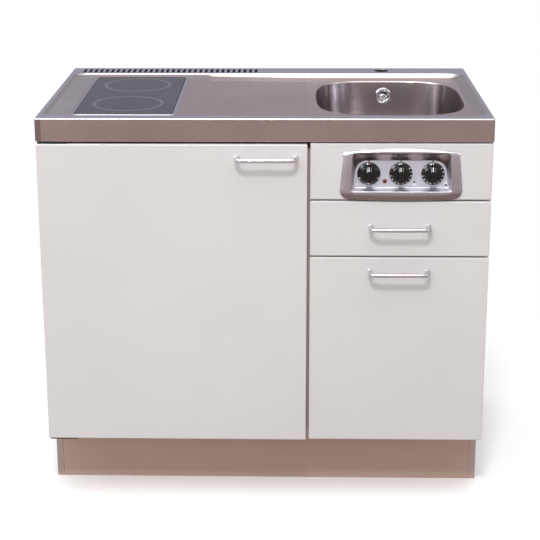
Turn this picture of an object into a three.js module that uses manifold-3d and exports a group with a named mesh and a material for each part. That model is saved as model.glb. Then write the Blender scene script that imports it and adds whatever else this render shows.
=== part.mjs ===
// A free-standing kitchenette unit: a pressed steel worktop with a sink bowl, a drainer and a
// two-zone ceramic hob, on a cabinet with a refrigerator, a drawer and a waste pull-out.
// Millimetres, +Z up, the front faces -Y. The floor is z = 0.
import * as THREE from "three";
import { mergeVertices } from "three/addons/utils/BufferGeometryUtils.js";
import Module from "manifold-3d";

const wasm = await Module();
wasm.setup();

// ---- Driving dimensions -------------------------------------------------------------------

// Clearances.
const SEAT = 0.3; // between a piece and what it rests on
const RUN_GAP = 0.5; // between a sliding or turning piece and what carries it
const FIT = 1; // round a body that drops into a cut-out

// Worktop: one sheet of pressed steel with folded edges.
const TOP_WIDTH = 1000;
const TOP_DEPTH = 600;
const TOP_HEIGHT = 900;
const SHEET = 1.2;
const APRON_HEIGHT = 52;
const TOP_EDGE_RADIUS = 3;
const TOP_CORNER_RADIUS = 4;
const HEM_WIDTH = 20;
const RIM_SIDE = 15;
const RIM_FRONT = 35;
const RIM_BACK = 65;
const TRAY_CORNER_RADIUS = 28;
const TRAY_WALL_RUN = 18; // how far the tray wall leans in over the full tray depth
const HOB_FLOOR_DEPTH = 4;
const DRAINER_DEPTH = 9.4; // at its shallow end, next to the hob
const TRAY_DEPTH = 13;
const DRAINER_STEP_RUN = 12;
const DRAINER_TO_BOWL = 17;
const HOB_TO_DRAINER = 40; // collar foot to the drainer's step
const BEAD_COUNT = 11;
const BEAD_PITCH = 38;
const BEAD_WIDTH = 12;
const BEAD_HEIGHT = 2.2;
const BEAD_FROM_BACK = 75; // tray back edge to the first bead
const VENT_COUNT = 32;
const VENT_PITCH = 14.07;
const VENT_LENGTH = 44;
const VENT_WIDTH = 6;
const VENT_FROM_LEFT = 33;
const VENT_FROM_BACK = 16;
const TAP_HOLE_RADIUS = 17.5;
const TAP_FROM_BACK = 33;

// Sink bowl, a rounded rectangle whose outline is a superellipse.
const BOWL_FROM_RIGHT = 212;
const BOWL_FROM_FRONT = 285;
const BOWL_HALF_WIDTH = 170;
const BOWL_HALF_LENGTH = 196;
const BOWL_SQUARENESS = 3.5;
const BOWL_DEPTH = 150;
const BOWL_DRAFT = 8;
const BOWL_FLOOR_RADIUS = 45;
const BOWL_WALL = 1;
const BOWL_FLANGE = 12;
const OVERFLOW_BELOW_RIM = 34;
const OVERFLOW_RADIUS = 19;
const OVERFLOW_THICKNESS = 4;
const OVERFLOW_HOSE_RADIUS = 10;
const DRAIN_FLANGE_RADIUS = 57;
const DRAIN_CUP_RADIUS = 43.5;
const DRAIN_CUP_DEPTH = 32;
const DRAIN_WALL = 2;
const DRAIN_BODY_DEPTH = 51;
const WASTE_RADIUS = 16.5;
const WASTE_WALL = 2;
const WASTE_LIFT = 4.5; // drain body foot to the waste pipe
const TRAP_FROM_BACK = 70;
const TRAP_RADIUS = 30;
const TRAP_TOP_BELOW_BOWL = 86;
const TRAP_BODY_HEIGHT = 100;
const TRAP_NECK_HEIGHT = 50;

// Hob.
const HOB_FROM_LEFT = 188;
const HOB_FROM_FRONT = 263;
const GLASS_WIDTH = 218;
const GLASS_LENGTH = 426;
const GLASS_THICKNESS = 4;
const GLASS_PROUD = 0.6;
const GLASS_CORNER_RADIUS = 6;
const GLASS_POCKET_GAP = 0.6;
const GLASS_LEDGE = 9;
const COLLAR_LIP = 2;
const COLLAR_RUN = 10;
const COLLAR_CORNER_RADIUS = 12;
const CASING_DEPTH = 44;
const CASING_WALL = 1;
const HEATER_RADIUS = 82;
const HEATER_SPACING = 220;
const HEATER_WALL = 6;
const HEATER_FLOOR = 14;

// Cabinet.
const BOARD = 16;
const SIDE_INSET = 0.5; // side panels behind the worktop's ends
const SIDE_BACK_INSET = 3;
const PLINTH_HEIGHT = 147;
const PLINTH_SETBACK = 96;
const FRONT_SETBACK = 1.5; // fronts behind the worktop's front edge
const FRONT_THICKNESS = 18;
const RAIL_HEIGHT = 16;
const RAIL_DEPTH = 40;
const REAR_RAIL_HEIGHT = 98;
const BACK_PANEL_THICKNESS = 3;
const BACK_PANEL_HEIGHT = 300;

// Fronts.
const FRONT_MARGIN = 1.5; // front edges inside the worktop's ends
const FRONT_GAP = 3.6;
const DOOR_GAP = 6.5;
const COLUMN_WIDTH = 397; // the three fronts beside the door
const DOOR_OVERLAP = 4; // the door's free edge over the partition
const DOOR_TOP_GAP = 5.2;
const DOOR_PROUD = 5;
const FRONTS_TOP_GAP = 3;
const CONTROL_HEIGHT = 127;
const DRAWER_HEIGHT = 126.4;
const FRONTS_BOTTOM = 144;

// Bow handles.
const HANDLE_CENTRES = 128;
const HANDLE_REACH = 35;
const HANDLE_ROD_RADIUS = 4.75;
const HANDLE_BEND_RADIUS = 14;
const DOOR_HANDLE_FROM_EDGE = 89;
const DOOR_HANDLE_FROM_TOP = 29;
const DRAWER_HANDLE_FROM_TOP = 58;
const PULLOUT_HANDLE_FROM_TOP = 32;

// Controls.
const BEZEL_PROUD = 8;
const BEZEL_HALF_TOP = 127;
const BEZEL_HALF_WIDE = 134;
const BEZEL_HALF_FOOT = 118;
const BEZEL_HEIGHT = 112;
const BEZEL_FOOT_HEIGHT = 18; // foot corner to the widest point
const BEZEL_CROWN = 6; // rise of the top edge, and sag of the foot, at the middle
const BEZEL_ABOVE_FRONT_FOOT = 1.5;
const WINDOW_SIDE = 16;
const WINDOW_TOP = 5.5;
const WINDOW_FOOT = 16;
const RECESS_DEPTH = 20;
const RECESS_TOP_SLOPE = 19;
const RECESS_SIDE_SLOPE = 6.5;
const RECESS_FOOT_SLOPE = 4;
const BEZEL_WALL = 2;
const PLATE_THICKNESS = 2;
const KNOB_RADIUS = 24.8;
const KNOB_SPACING = 70;
const KNOB_ABOVE_FOOT = 55;
const KNOB_SKIRT = 10.5;
const KNOB_GRIP_HEIGHT = 11.5;
const KNOB_GRIP_WIDTH = 13;
const SPINDLE_RADIUS = 3;
const SWITCH_SIDE = 42;
const SWITCH_DEPTH = 28;
const KNOB_SKIRT_RIM = 2; // the skirt's upright rim
const KNOB_GRIP_SINK = 4; // how far the grip starts inside the skirt
const LAMP_RADIUS = 5;
const LAMP_LENGTH = 26;
const LAMP_BELOW_KNOB = 17.5;
const LAMP_PROUD = 2.5;
const CONTROL_BOX_WALL = 1.2;
const CONTROL_BOX_DEPTH = 48;
const CONTROL_BOX_MARGIN = 5; // round the recess
const CONTROL_BOX_RISE = 15; // above the control front's foot

// Refrigerator.
const FRIDGE_SIDE_GAP = 3.5; // on the hinge side
const FRIDGE_FREE_GAP = 11; // to the partition
const FRIDGE_TOP_GAP = 7;
const FRIDGE_BACK_GAP = 65;
const FRIDGE_WALL = 40;
const FRIDGE_DOOR_THICKNESS = 40;
const FRIDGE_DOOR_TOP_GAP = 4;
const GASKET_THICKNESS = 7.4;
const GASKET_WIDTH = 14;
const GASKET_MARGIN = 6;
const COMPRESSOR_BAY_DEPTH = 140;
const COMPRESSOR_BAY_HEIGHT = 172;
const COMPRESSOR_RADIUS = 58;
const COMPRESSOR_HEIGHT = 130;
const COMPRESSOR_FOOT = 12;
const CONDENSER_RADIUS = 3;
const CONDENSER_RUNS = 7;
const CONDENSER_PITCH = 48;
const CONDENSER_MARGIN = 50; // cabinet side to the coil
const CONDENSER_ABOVE_BAY = 60;
const SHELF_THICKNESS = 5;
const SHELF_RIB = 8;
const SHELF_SETBACK = 92; // behind the cabinet's front face
const UPPER_SHELF_HEIGHT = 400; // above the refrigerator's foot
const LOWER_SHELF_HEIGHT = 222;
const CRISPER_HEIGHT = 150;
const CRISPER_WALL = 3;
const RACK_DEPTH = 84;
const RACK_HEIGHT = 70;
const RACK_WALL = 3;
const RACK_SIDE_GAP = 14;
const RACK_SWING_GAP = 25; // extra room at the free end, for the swing
const LOWER_RACK_HEIGHT = 160; // above the refrigerator's foot
const UPPER_RACK_HEIGHT = 430;
const THERMOSTAT_WIDTH = 150;
const THERMOSTAT_DEPTH = 120;
const THERMOSTAT_HEIGHT = 40;
const THERMOSTAT_SETBACK = 130;
const THERMOSTAT_KNOB_RADIUS = 14;
const THERMOSTAT_KNOB_DEPTH = 12;
const HINGE_INSET = 9;
const HINGE_LEAF = 2.5;
const HINGE_WIDTH = 58;
const HINGE_PIN_RADIUS = 3;
const HINGE_PIN_LENGTH = 12;
const HINGE_RISE = 17;
const HINGE_LEAF_GAP = 1.2; // leaf to the decor panel's edge

// Drawer, pull-out and bin.
const RUNNER_SIDE = 12;
const SLIDE_DEPTH = 400;
const SLIDE_SIDE_GAP = 2;
const TRAY_SIDE = 12;
const TRAY_FLOOR = 6;
const DRAWER_RUNNER_RISE = 7; // above the foot of the drawer front
const DRAWER_TRAY_HEIGHT = 65;
const PULLOUT_RUNNER_RISE = 7; // above the bottom panel
const PULLOUT_TRAY_HEIGHT = 78;
const BIN_WIDTH = 250;
const BIN_LENGTH = 300;
const BIN_HEIGHT = 330;
const BIN_TAPER = 14;
const BIN_WALL = 2.5;
const BIN_RIM = 8;
const BIN_CORNER_RADIUS = 24;

// ---- Places worked out from the sizes -----------------------------------------------------

const LEFT = -TOP_WIDTH / 2;
const RIGHT = TOP_WIDTH / 2;
const FRONT = -TOP_DEPTH / 2;
const BACK = TOP_DEPTH / 2;
const APRON_FOOT = TOP_HEIGHT - APRON_HEIGHT;

const TRAY_LEFT = LEFT + RIM_SIDE;
const TRAY_RIGHT = RIGHT - RIM_SIDE;
const TRAY_FRONT = FRONT + RIM_FRONT;
const TRAY_BACK = BACK - RIM_BACK;

const HOB_X = LEFT + HOB_FROM_LEFT;
const HOB_Y = FRONT + HOB_FROM_FRONT;
const GLASS_FOOT = TOP_HEIGHT + GLASS_PROUD - GLASS_THICKNESS;
const COLLAR_HALF_WIDTH = GLASS_WIDTH / 2 + COLLAR_LIP + COLLAR_RUN;
const DRAINER_START = HOB_X + COLLAR_HALF_WIDTH + HOB_TO_DRAINER;

const BOWL_X = RIGHT - BOWL_FROM_RIGHT;
const BOWL_Y = FRONT + BOWL_FROM_FRONT;
const SLOPE_START = DRAINER_START + DRAINER_STEP_RUN;
const SLOPE_END = BOWL_X - BOWL_HALF_WIDTH - DRAINER_TO_BOWL;
const SLOPE_LENGTH = SLOPE_END - SLOPE_START;
const TRAY_FLOOR_Z = TOP_HEIGHT - TRAY_DEPTH;
const BOWL_TOP = TRAY_FLOOR_Z - SHEET - SEAT;
const BOWL_FLOOR = TRAY_FLOOR_Z - BOWL_DEPTH;
const BOWL_UNDERSIDE = BOWL_FLOOR - BOWL_WALL;
const DRAIN_BODY_FOOT = BOWL_UNDERSIDE - DRAIN_BODY_DEPTH;
const WASTE_Z = DRAIN_BODY_FOOT + WASTE_RADIUS + WASTE_LIFT;

const SIDE_LEFT = LEFT + SIDE_INSET;
const SIDE_RIGHT = RIGHT - SIDE_INSET;
const INNER_LEFT = SIDE_LEFT + BOARD;
const INNER_RIGHT = SIDE_RIGHT - BOARD;
const FRONT_FACE = FRONT + FRONT_SETBACK;
const FRONT_BACK_FACE = FRONT_FACE + FRONT_THICKNESS;
const CASE_FRONT = FRONT_BACK_FACE + SEAT;
const CASE_BACK = BACK - SIDE_BACK_INSET;
const CASE_TOP = APRON_FOOT - SEAT;
const PLINTH_FRONT = FRONT + PLINTH_SETBACK;
const BOTTOM_TOP = PLINTH_HEIGHT + BOARD;
const BOARD_BACK = CASE_BACK - BOARD - SEAT;

const FRONTS_RIGHT = RIGHT - FRONT_MARGIN;
const FRONTS_LEFT = FRONTS_RIGHT - COLUMN_WIDTH;
const FRONTS_X = (FRONTS_LEFT + FRONTS_RIGHT) / 2;
const DOOR_LEFT = LEFT + FRONT_MARGIN;
const DOOR_RIGHT = FRONTS_LEFT - DOOR_GAP;
const DOOR_TOP = APRON_FOOT - DOOR_TOP_GAP;
const DOOR_FACE = FRONT_FACE - DOOR_PROUD;
const DOOR_BACK_FACE = DOOR_FACE + FRONT_THICKNESS;
const PARTITION_LEFT = DOOR_RIGHT - DOOR_OVERLAP;
const PARTITION_RIGHT = PARTITION_LEFT + BOARD;
const CONTROL_TOP = APRON_FOOT - FRONTS_TOP_GAP;
const CONTROL_FOOT = CONTROL_TOP - CONTROL_HEIGHT;
const DRAWER_TOP = CONTROL_FOOT - FRONT_GAP;
const DRAWER_FOOT = DRAWER_TOP - DRAWER_HEIGHT;
const PULLOUT_TOP = DRAWER_FOOT - FRONT_GAP;

const HINGE_X = DOOR_LEFT + HINGE_INSET;
const HINGE_Y = DOOR_FACE + FRONT_THICKNESS / 2;

const FRIDGE_LEFT = INNER_LEFT + FRIDGE_SIDE_GAP;
const FRIDGE_RIGHT = PARTITION_LEFT - FRIDGE_FREE_GAP;
const FRIDGE_WIDTH = FRIDGE_RIGHT - FRIDGE_LEFT;
const FRIDGE_FOOT = BOTTOM_TOP + SEAT;
const FRIDGE_TOP = CASE_TOP - RAIL_HEIGHT - FRIDGE_TOP_GAP;
const FRIDGE_DOOR_FRONT = DOOR_BACK_FACE + SEAT;
const FRIDGE_DOOR_BACK = FRIDGE_DOOR_FRONT + FRIDGE_DOOR_THICKNESS;
const FRIDGE_FRONT = FRIDGE_DOOR_BACK + GASKET_THICKNESS + 2 * SEAT;
const FRIDGE_BACK = BACK - FRIDGE_BACK_GAP;
const FRIDGE_INSIDE = {
  x: [FRIDGE_LEFT + FRIDGE_WALL, FRIDGE_RIGHT - FRIDGE_WALL],
  y: [FRIDGE_FRONT, FRIDGE_BACK - FRIDGE_WALL],
  z: [FRIDGE_FOOT + FRIDGE_WALL, FRIDGE_TOP - FRIDGE_WALL],
};
const BAY_FRONT = FRIDGE_BACK - COMPRESSOR_BAY_DEPTH;
const BAY_TOP = FRIDGE_FOOT + COMPRESSOR_BAY_HEIGHT;
const SHELF_FRONT = FRIDGE_FRONT + SHELF_SETBACK;

const SLIDE_LEFT = PARTITION_RIGHT + SLIDE_SIDE_GAP;
const SLIDE_RIGHT = INNER_RIGHT - SLIDE_SIDE_GAP;
const SLIDE_BACK = CASE_FRONT + SLIDE_DEPTH;

// ---- Shapes ---------------------------------------------------------------------------------

// A closed geometry as a solid that can be cut and joined, with its faces turned outwards.
function solid(geometry) {
  const bare = geometry.clone();
  bare.deleteAttribute("normal");
  bare.deleteAttribute("uv");
  const merged = mergeVertices(bare, 1e-4);
  const vertProperties = merged.attributes.position.array;
  const triVerts = new Uint32Array(merged.index.array);
  const made = new wasm.Manifold(new wasm.Mesh({ numProp: 3, vertProperties, triVerts }));
  if (made.volume() >= 0) return made;
  return new wasm.Manifold(new wasm.Mesh({ numProp: 3, vertProperties, triVerts: triVerts.reverse() }));
}

// A rectangular block between two limits on each axis.
function block([x0, x1], [y0, y1], [z0, z1]) {
  const geometry = new THREE.BoxGeometry(x1 - x0, y1 - y0, z1 - z0);
  return solid(geometry.translate((x0 + x1) / 2, (y0 + y1) / 2, (z0 + z1) / 2));
}

// A round bar between two points.
function bar(radius, start, end, sides = 16) {
  const from = new THREE.Vector3(...start);
  const to = new THREE.Vector3(...end);
  const along = to.clone().sub(from);
  const geometry = new THREE.CylinderGeometry(radius, radius, along.length(), sides);
  const up = new THREE.Vector3(0, 1, 0);
  geometry.applyQuaternion(new THREE.Quaternion().setFromUnitVectors(up, along.normalize()));
  const middle = from.add(to).multiplyScalar(0.5);
  return solid(geometry.translate(middle.x, middle.y, middle.z));
}

// A turned piece about the vertical axis: its profile is a list of [radius, height] that starts
// and ends on the axis, or is closed here.
function turned(profile, sides = 24) {
  const points = profile.map(([radius, height]) => new THREE.Vector2(radius, height));
  if (profile[0][0] > 0) points.push(points[0].clone());
  return solid(new THREE.LatheGeometry(points, sides).rotateX(Math.PI / 2));
}

// An outline with rounded corners, anticlockwise: each corner is [x, y, radius].
function rounded(corners, steps = 4) {
  return corners.flatMap(([x, y, radius], i) => {
    const corner = new THREE.Vector2(x, y);
    const before = new THREE.Vector2(...corners.at(i - 1).slice(0, 2));
    const after = new THREE.Vector2(...corners[(i + 1) % corners.length].slice(0, 2));
    const entry = before.sub(corner).setLength(radius).add(corner);
    const exit = after.sub(corner).setLength(radius).add(corner);
    const pull = 0.552; // the share of the radius that makes a cubic follow a quarter circle
    const curve = new THREE.CubicBezierCurve(
      entry,
      entry.clone().lerp(corner, pull),
      exit.clone().lerp(corner, pull),
      exit,
    );
    return curve.getPoints(steps);
  });
}

function roundedRectangle([x0, x1], [y0, y1], radius, steps) {
  return rounded([[x0, y0, radius], [x1, y0, radius], [x1, y1, radius], [x0, y1, radius]], steps);
}

// A superellipse: |x / a| and |y / b| raised to the squareness add up to one.
function superellipse(x, y, a, b, count = 36) {
  return Array.from({ length: count }, (_, i) => {
    const angle = (i / count) * 2 * Math.PI;
    const bend = (value) => Math.sign(value) * Math.abs(value) ** (2 / BOWL_SQUARENESS);
    return new THREE.Vector2(x + a * bend(Math.cos(angle)), y + b * bend(Math.sin(angle)));
  });
}

// A solid skinned over closed convex sections, each a list of the same number of 3-D points.
function loft(sections) {
  const count = sections[0].length;
  const last = (sections.length - 1) * count;
  const index = [];
  for (let s = 0; s < sections.length - 1; s += 1) {
    for (let i = 0; i < count; i += 1) {
      const a = s * count + i;
      const b = s * count + ((i + 1) % count);
      index.push(a, b, b + count, a, b + count, a + count);
    }
  }
  for (let i = 1; i < count - 1; i += 1) {
    index.push(0, i + 1, i);
    index.push(last, last + i, last + i + 1);
  }
  const geometry = new THREE.BufferGeometry().setFromPoints(sections.flat());
  return solid(geometry.setIndex(index));
}

const atHeight = (outline, z) => outline.map((p) => new THREE.Vector3(p.x, p.y, z));
const atDepth = (outline, y) => outline.map((p) => new THREE.Vector3(p.x, y, p.y));

// A flat outline in plan, raised between two heights.
function upright(outline, [z0, z1]) {
  const shape = new THREE.Shape(outline);
  const geometry = new THREE.ExtrudeGeometry(shape, { depth: z1 - z0, bevelEnabled: false });
  return solid(geometry.translate(0, 0, z0));
}

// A flat outline in elevation, x and z, carried from one depth to another.
function facing(outline, [y0, y1]) {
  const shape = new THREE.Shape(outline);
  const geometry = new THREE.ExtrudeGeometry(shape, { depth: y1 - y0, bevelEnabled: false });
  return solid(geometry.rotateX(Math.PI / 2).translate(0, y1, 0));
}

// A round tube along a curve, solid or with a bore.
function tube(curve, radius, { bore = 0, sides = 8, steps = 16 } = {}) {
  const ring = (r) => Array.from({ length: sides }, (_, i) => {
    const angle = (i / sides) * 2 * Math.PI;
    return new THREE.Vector2(r * Math.cos(angle), r * Math.sin(angle));
  });
  const shape = new THREE.Shape(ring(radius));
  if (bore > 0) shape.holes.push(new THREE.Path(ring(bore)));
  return solid(new THREE.ExtrudeGeometry(shape, { steps, extrudePath: curve }));
}

// Straight runs joined by round bends, through a list of [x, y, z] corners.
function bentPath(corners, radius) {
  const points = corners.map((c) => new THREE.Vector3(...c));
  const path = new THREE.CurvePath();
  let start = points[0];
  for (let i = 1; i < points.length - 1; i += 1) {
    const entry = points[i - 1].clone().sub(points[i]).setLength(radius).add(points[i]);
    const exit = points[i + 1].clone().sub(points[i]).setLength(radius).add(points[i]);
    path.add(new THREE.LineCurve3(start, entry));
    path.add(new THREE.QuadraticBezierCurve3(entry, points[i], exit));
    start = exit;
  }
  path.add(new THREE.LineCurve3(start, points.at(-1)));
  return path;
}

// ---- Finishes and the tree of pieces --------------------------------------------------------

const FINISHES = {
  steel: { color: 0x8f898b, roughness: 0.32, metalness: 0.9 },
  chrome: { color: 0xc9c9cc, roughness: 0.12, metalness: 1 },
  satinSilver: { color: 0xb4b2b4, roughness: 0.35, metalness: 0.9 },
  zinc: { color: 0x9a9ca0, roughness: 0.45, metalness: 0.85 },
  glass: { color: 0x3a3a3d, roughness: 0.08, metalness: 0 },
  clear: { color: 0xdfe9ea, roughness: 0.06, metalness: 0 },
  frontWhite: { color: 0xdad7d6, roughness: 0.45, metalness: 0 },
  boardGrey: { color: 0x968b8f, roughness: 0.6, metalness: 0 },
  whitePlastic: { color: 0xe6e6e2, roughness: 0.4, metalness: 0 },
  greyPlastic: { color: 0x9b959d, roughness: 0.4, metalness: 0 },
  plateGrey: { color: 0xbcbeca, roughness: 0.35, metalness: 0.4 },
  blackPlastic: { color: 0x18181a, roughness: 0.2, metalness: 0 },
  rubber: { color: 0x8a8a8c, roughness: 0.8, metalness: 0 },
  fibre: { color: 0xb9b2a4, roughness: 0.9, metalness: 0 },
  red: { color: 0xb01818, roughness: 0.2, metalness: 0 },
};

// A named group of pieces, hung on its parent.
function group(parent, name, position = [0, 0, 0]) {
  const made = new THREE.Group();
  made.name = name;
  made.position.set(...position);
  parent.add(made);
  return made;
}

// Adds one piece to a group as a named mesh of its own finish.
function add(parent, name, piece, finish, position = [0, 0, 0]) {
  const { vertProperties, triVerts } = piece.getMesh();
  const geometry = new THREE.BufferGeometry();
  geometry.setAttribute("position", new THREE.BufferAttribute(vertProperties, 3));
  geometry.setIndex(new THREE.BufferAttribute(triVerts, 1));
  geometry.computeVertexNormals();
  const mesh = new THREE.Mesh(geometry, new THREE.MeshStandardMaterial(FINISHES[finish]));
  mesh.name = name;
  mesh.position.set(...position);
  parent.add(mesh);
}

const root = new THREE.Group();
root.name = "kitchenette";

// ---- Cabinet --------------------------------------------------------------------------------

function makeCabinet() {
  const cabinet = group(root, "cabinet");
  const sidePanel = (x) =>
    block([x, x + BOARD], [CASE_FRONT, CASE_BACK], [0, CASE_TOP]).subtract(
      block([x - 1, x + BOARD + 1], [CASE_FRONT - 1, PLINTH_FRONT], [-1, PLINTH_HEIGHT]),
    );
  add(cabinet, "side_panel_left", sidePanel(SIDE_LEFT), "boardGrey");
  add(cabinet, "side_panel_right", sidePanel(INNER_RIGHT), "boardGrey");

  const across = [INNER_LEFT + SEAT, INNER_RIGHT - SEAT];
  const plinth = block(across, [PLINTH_FRONT, PLINTH_FRONT + BOARD], [0, PLINTH_HEIGHT - SEAT]);
  add(cabinet, "plinth_board", plinth, "boardGrey");
  const floor = block(across, [CASE_FRONT, BOARD_BACK], [PLINTH_HEIGHT, BOTTOM_TOP]);
  add(cabinet, "bottom_panel", floor, "boardGrey");
  const railFoot = CASE_TOP - RAIL_HEIGHT;
  const partition = block(
    [PARTITION_LEFT, PARTITION_RIGHT],
    [CASE_FRONT, BOARD_BACK],
    [BOTTOM_TOP + SEAT, railFoot - SEAT],
  );
  add(cabinet, "partition_panel", partition, "boardGrey");
  const frontRail = block(across, [CASE_FRONT, CASE_FRONT + RAIL_DEPTH], [railFoot, CASE_TOP]);
  add(cabinet, "front_rail", frontRail, "boardGrey");
  const rearRail = block(
    across,
    [BOARD_BACK + SEAT, CASE_BACK],
    [CASE_TOP - REAR_RAIL_HEIGHT, CASE_TOP],
  );
  add(cabinet, "rear_rail", rearRail, "boardGrey");
  const backPanel = block(
    [PARTITION_RIGHT + SEAT, INNER_RIGHT - SEAT],
    [BOARD_BACK - BACK_PANEL_THICKNESS, BOARD_BACK],
    [BOTTOM_TOP + SEAT, BOTTOM_TOP + SEAT + BACK_PANEL_HEIGHT],
  );
  add(cabinet, "back_panel", backPanel, "boardGrey");
}

// ---- Worktop --------------------------------------------------------------------------------

// Height of the tray floor at its three levels, the sheet's underside being `drop` lower.
function trayFloor(drop) {
  return facing(
    [
      [LEFT - 1, APRON_FOOT],
      [RIGHT + 1, APRON_FOOT],
      [RIGHT + 1, TRAY_FLOOR_Z - drop],
      [SLOPE_END, TRAY_FLOOR_Z - drop],
      [SLOPE_START, TOP_HEIGHT - DRAINER_DEPTH - drop],
      [DRAINER_START, TOP_HEIGHT - HOB_FLOOR_DEPTH - drop],
      [LEFT - 1, TOP_HEIGHT - HOB_FLOOR_DEPTH - drop],
    ].map(([x, z]) => new THREE.Vector2(x, z)),
    [FRONT - 1, BACK + 1],
  );
}

// The sunk tray as a solid to take out of the top, a frustum over the stepped floor.
function trayHollow(drop) {
  const deep = 1.2;
  const outline = (run) =>
    roundedRectangle(
      [TRAY_LEFT + run, TRAY_RIGHT - run],
      [TRAY_FRONT + run, TRAY_BACK - run],
      TRAY_CORNER_RADIUS,
    );
  const top = TOP_HEIGHT - drop;
  return loft([
    atHeight(outline(TRAY_WALL_RUN * deep), top - TRAY_DEPTH * deep),
    atHeight(outline(0), top),
    atHeight(outline(0), top + TRAY_DEPTH),
  ]).subtract(trayFloor(drop));
}

// The raised collar round the hob glass.
function hobCollar(drop) {
  const rise = HOB_FLOOR_DEPTH;
  const outline = (grow) =>
    roundedRectangle(
      [HOB_X - GLASS_WIDTH / 2 - grow, HOB_X + GLASS_WIDTH / 2 + grow],
      [HOB_Y - GLASS_LENGTH / 2 - grow, HOB_Y + GLASS_LENGTH / 2 + grow],
      COLLAR_CORNER_RADIUS,
    );
  return loft([
    atHeight(outline(COLLAR_LIP + COLLAR_RUN * 1.5), TOP_HEIGHT - rise * 1.5 - drop),
    atHeight(outline(COLLAR_LIP), TOP_HEIGHT - drop),
  ]);
}

function glassOutline(grow) {
  return roundedRectangle(
    [HOB_X - GLASS_WIDTH / 2 - grow, HOB_X + GLASS_WIDTH / 2 + grow],
    [HOB_Y - GLASS_LENGTH / 2 - grow, HOB_Y + GLASS_LENGTH / 2 + grow],
    GLASS_CORNER_RADIUS,
  );
}

// The solid below the worktop's surface, or below its underside, `drop` further in.
function worktopForm(drop) {
  const bend = (angle) => {
    const run = drop + TOP_EDGE_RADIUS * (1 - Math.cos(angle));
    const outline = roundedRectangle(
      [LEFT + run, RIGHT - run],
      [FRONT + run, BACK - run],
      TOP_CORNER_RADIUS,
    );
    return atHeight(outline, TOP_HEIGHT - drop - TOP_EDGE_RADIUS * (1 - Math.sin(angle)));
  };
  const foot = bend(0).map((p) => p.clone().setZ(APRON_FOOT + drop));
  const bends = [0, 1, 2, 3].map((k) => bend((k * Math.PI) / 6));
  const pocket = upright(
    glassOutline(GLASS_POCKET_GAP + drop),
    [GLASS_FOOT - SEAT - drop, TOP_HEIGHT + 1],
  );
  return loft([foot, ...bends])
    .subtract(trayHollow(drop))
    .add(hobCollar(drop))
    .subtract(pocket);
}

// The drainer's low beads, which follow the slope of the tray floor.
function drainerBeads() {
  const fall = TRAY_DEPTH - DRAINER_DEPTH;
  const length = SLOPE_LENGTH - BEAD_WIDTH;
  const beads = [];
  for (let k = 0; k < BEAD_COUNT; k += 1) {
    const bead = new THREE.CapsuleGeometry(BEAD_WIDTH / 2, length, 2, 8)
      .rotateZ(Math.PI / 2)
      .scale(1, 1, (2 * BEAD_HEIGHT) / BEAD_WIDTH)
      .rotateY(Math.atan2(fall, SLOPE_LENGTH))
      .translate(
        (SLOPE_START + SLOPE_END) / 2,
        TRAY_BACK - BEAD_FROM_BACK - k * BEAD_PITCH,
        TOP_HEIGHT - (DRAINER_DEPTH + TRAY_DEPTH) / 2,
      );
    beads.push(solid(bead));
  }
  return wasm.Manifold.union(beads);
}

// The air slots above the refrigerator's back.
function ventSlots() {
  const slots = [];
  for (let k = 0; k < VENT_COUNT; k += 1) {
    const x = LEFT + VENT_FROM_LEFT + k * VENT_PITCH;
    const y = BACK - VENT_FROM_BACK;
    const outline = roundedRectangle(
      [x - VENT_WIDTH / 2, x + VENT_WIDTH / 2],
      [y - VENT_LENGTH, y],
      VENT_WIDTH / 2 - 0.01,
      2,
    );
    slots.push(upright(outline, [TOP_HEIGHT - 2 * SHEET, TOP_HEIGHT + 1]));
  }
  return wasm.Manifold.union(slots);
}

function makeWorktop() {
  const hollow = worktopForm(SHEET);
  const hemOpening = block(
    [LEFT + HEM_WIDTH, RIGHT - HEM_WIDTH],
    [FRONT + HEM_WIDTH, BACK - HEM_WIDTH],
    [APRON_FOOT - 1, APRON_FOOT + 2 * SHEET],
  );
  const through = [TOP_HEIGHT - 2 * TRAY_DEPTH, TOP_HEIGHT + 1];
  const hobCutout = upright(glassOutline(-GLASS_LEDGE), through);
  const bowlHole = upright(
    superellipse(BOWL_X, BOWL_Y, BOWL_HALF_WIDTH, BOWL_HALF_LENGTH),
    through,
  );
  const tapX = BOWL_X;
  const tapY = BACK - TAP_FROM_BACK;
  const tapHole = bar(TAP_HOLE_RADIUS, [tapX, tapY, through[0]], [tapX, tapY, through[1]], 24);
  const sheet = worktopForm(0)
    .add(drainerBeads())
    .subtract(hollow)
    .subtract(hemOpening)
    .subtract(hobCutout)
    .subtract(bowlHole)
    .subtract(tapHole)
    .subtract(ventSlots());
  add(root, "worktop", sheet, "steel");
}

// ---- Sink -----------------------------------------------------------------------------------

// Sections of the bowl from its floor up: the wall leans in by the draft, then turns through
// the floor radius. `grow` is the wall thickness outside the bowl's inner face.
function bowlSections(grow) {
  const wallDepth = BOWL_DEPTH - BOWL_FLOOR_RADIUS;
  const section = (depth, inset, lower) =>
    atHeight(
      superellipse(
        BOWL_X,
        BOWL_Y,
        BOWL_HALF_WIDTH - inset + grow,
        BOWL_HALF_LENGTH - inset + grow,
      ),
      TRAY_FLOOR_Z - depth - lower,
    );
  const turns = [90, 67, 45, 22, 0].map((degrees) => {
    const angle = THREE.MathUtils.degToRad(degrees);
    const inset = BOWL_DRAFT + BOWL_FLOOR_RADIUS * (1 - Math.cos(angle));
    const depth = wallDepth + BOWL_FLOOR_RADIUS * Math.sin(angle);
    return section(depth, inset, grow);
  });
  const rim = section(0, 0, 0).map((p) => p.clone().setZ(grow > 0 ? BOWL_TOP : TRAY_FLOOR_Z + 1));
  return [...turns, rim];
}

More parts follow.
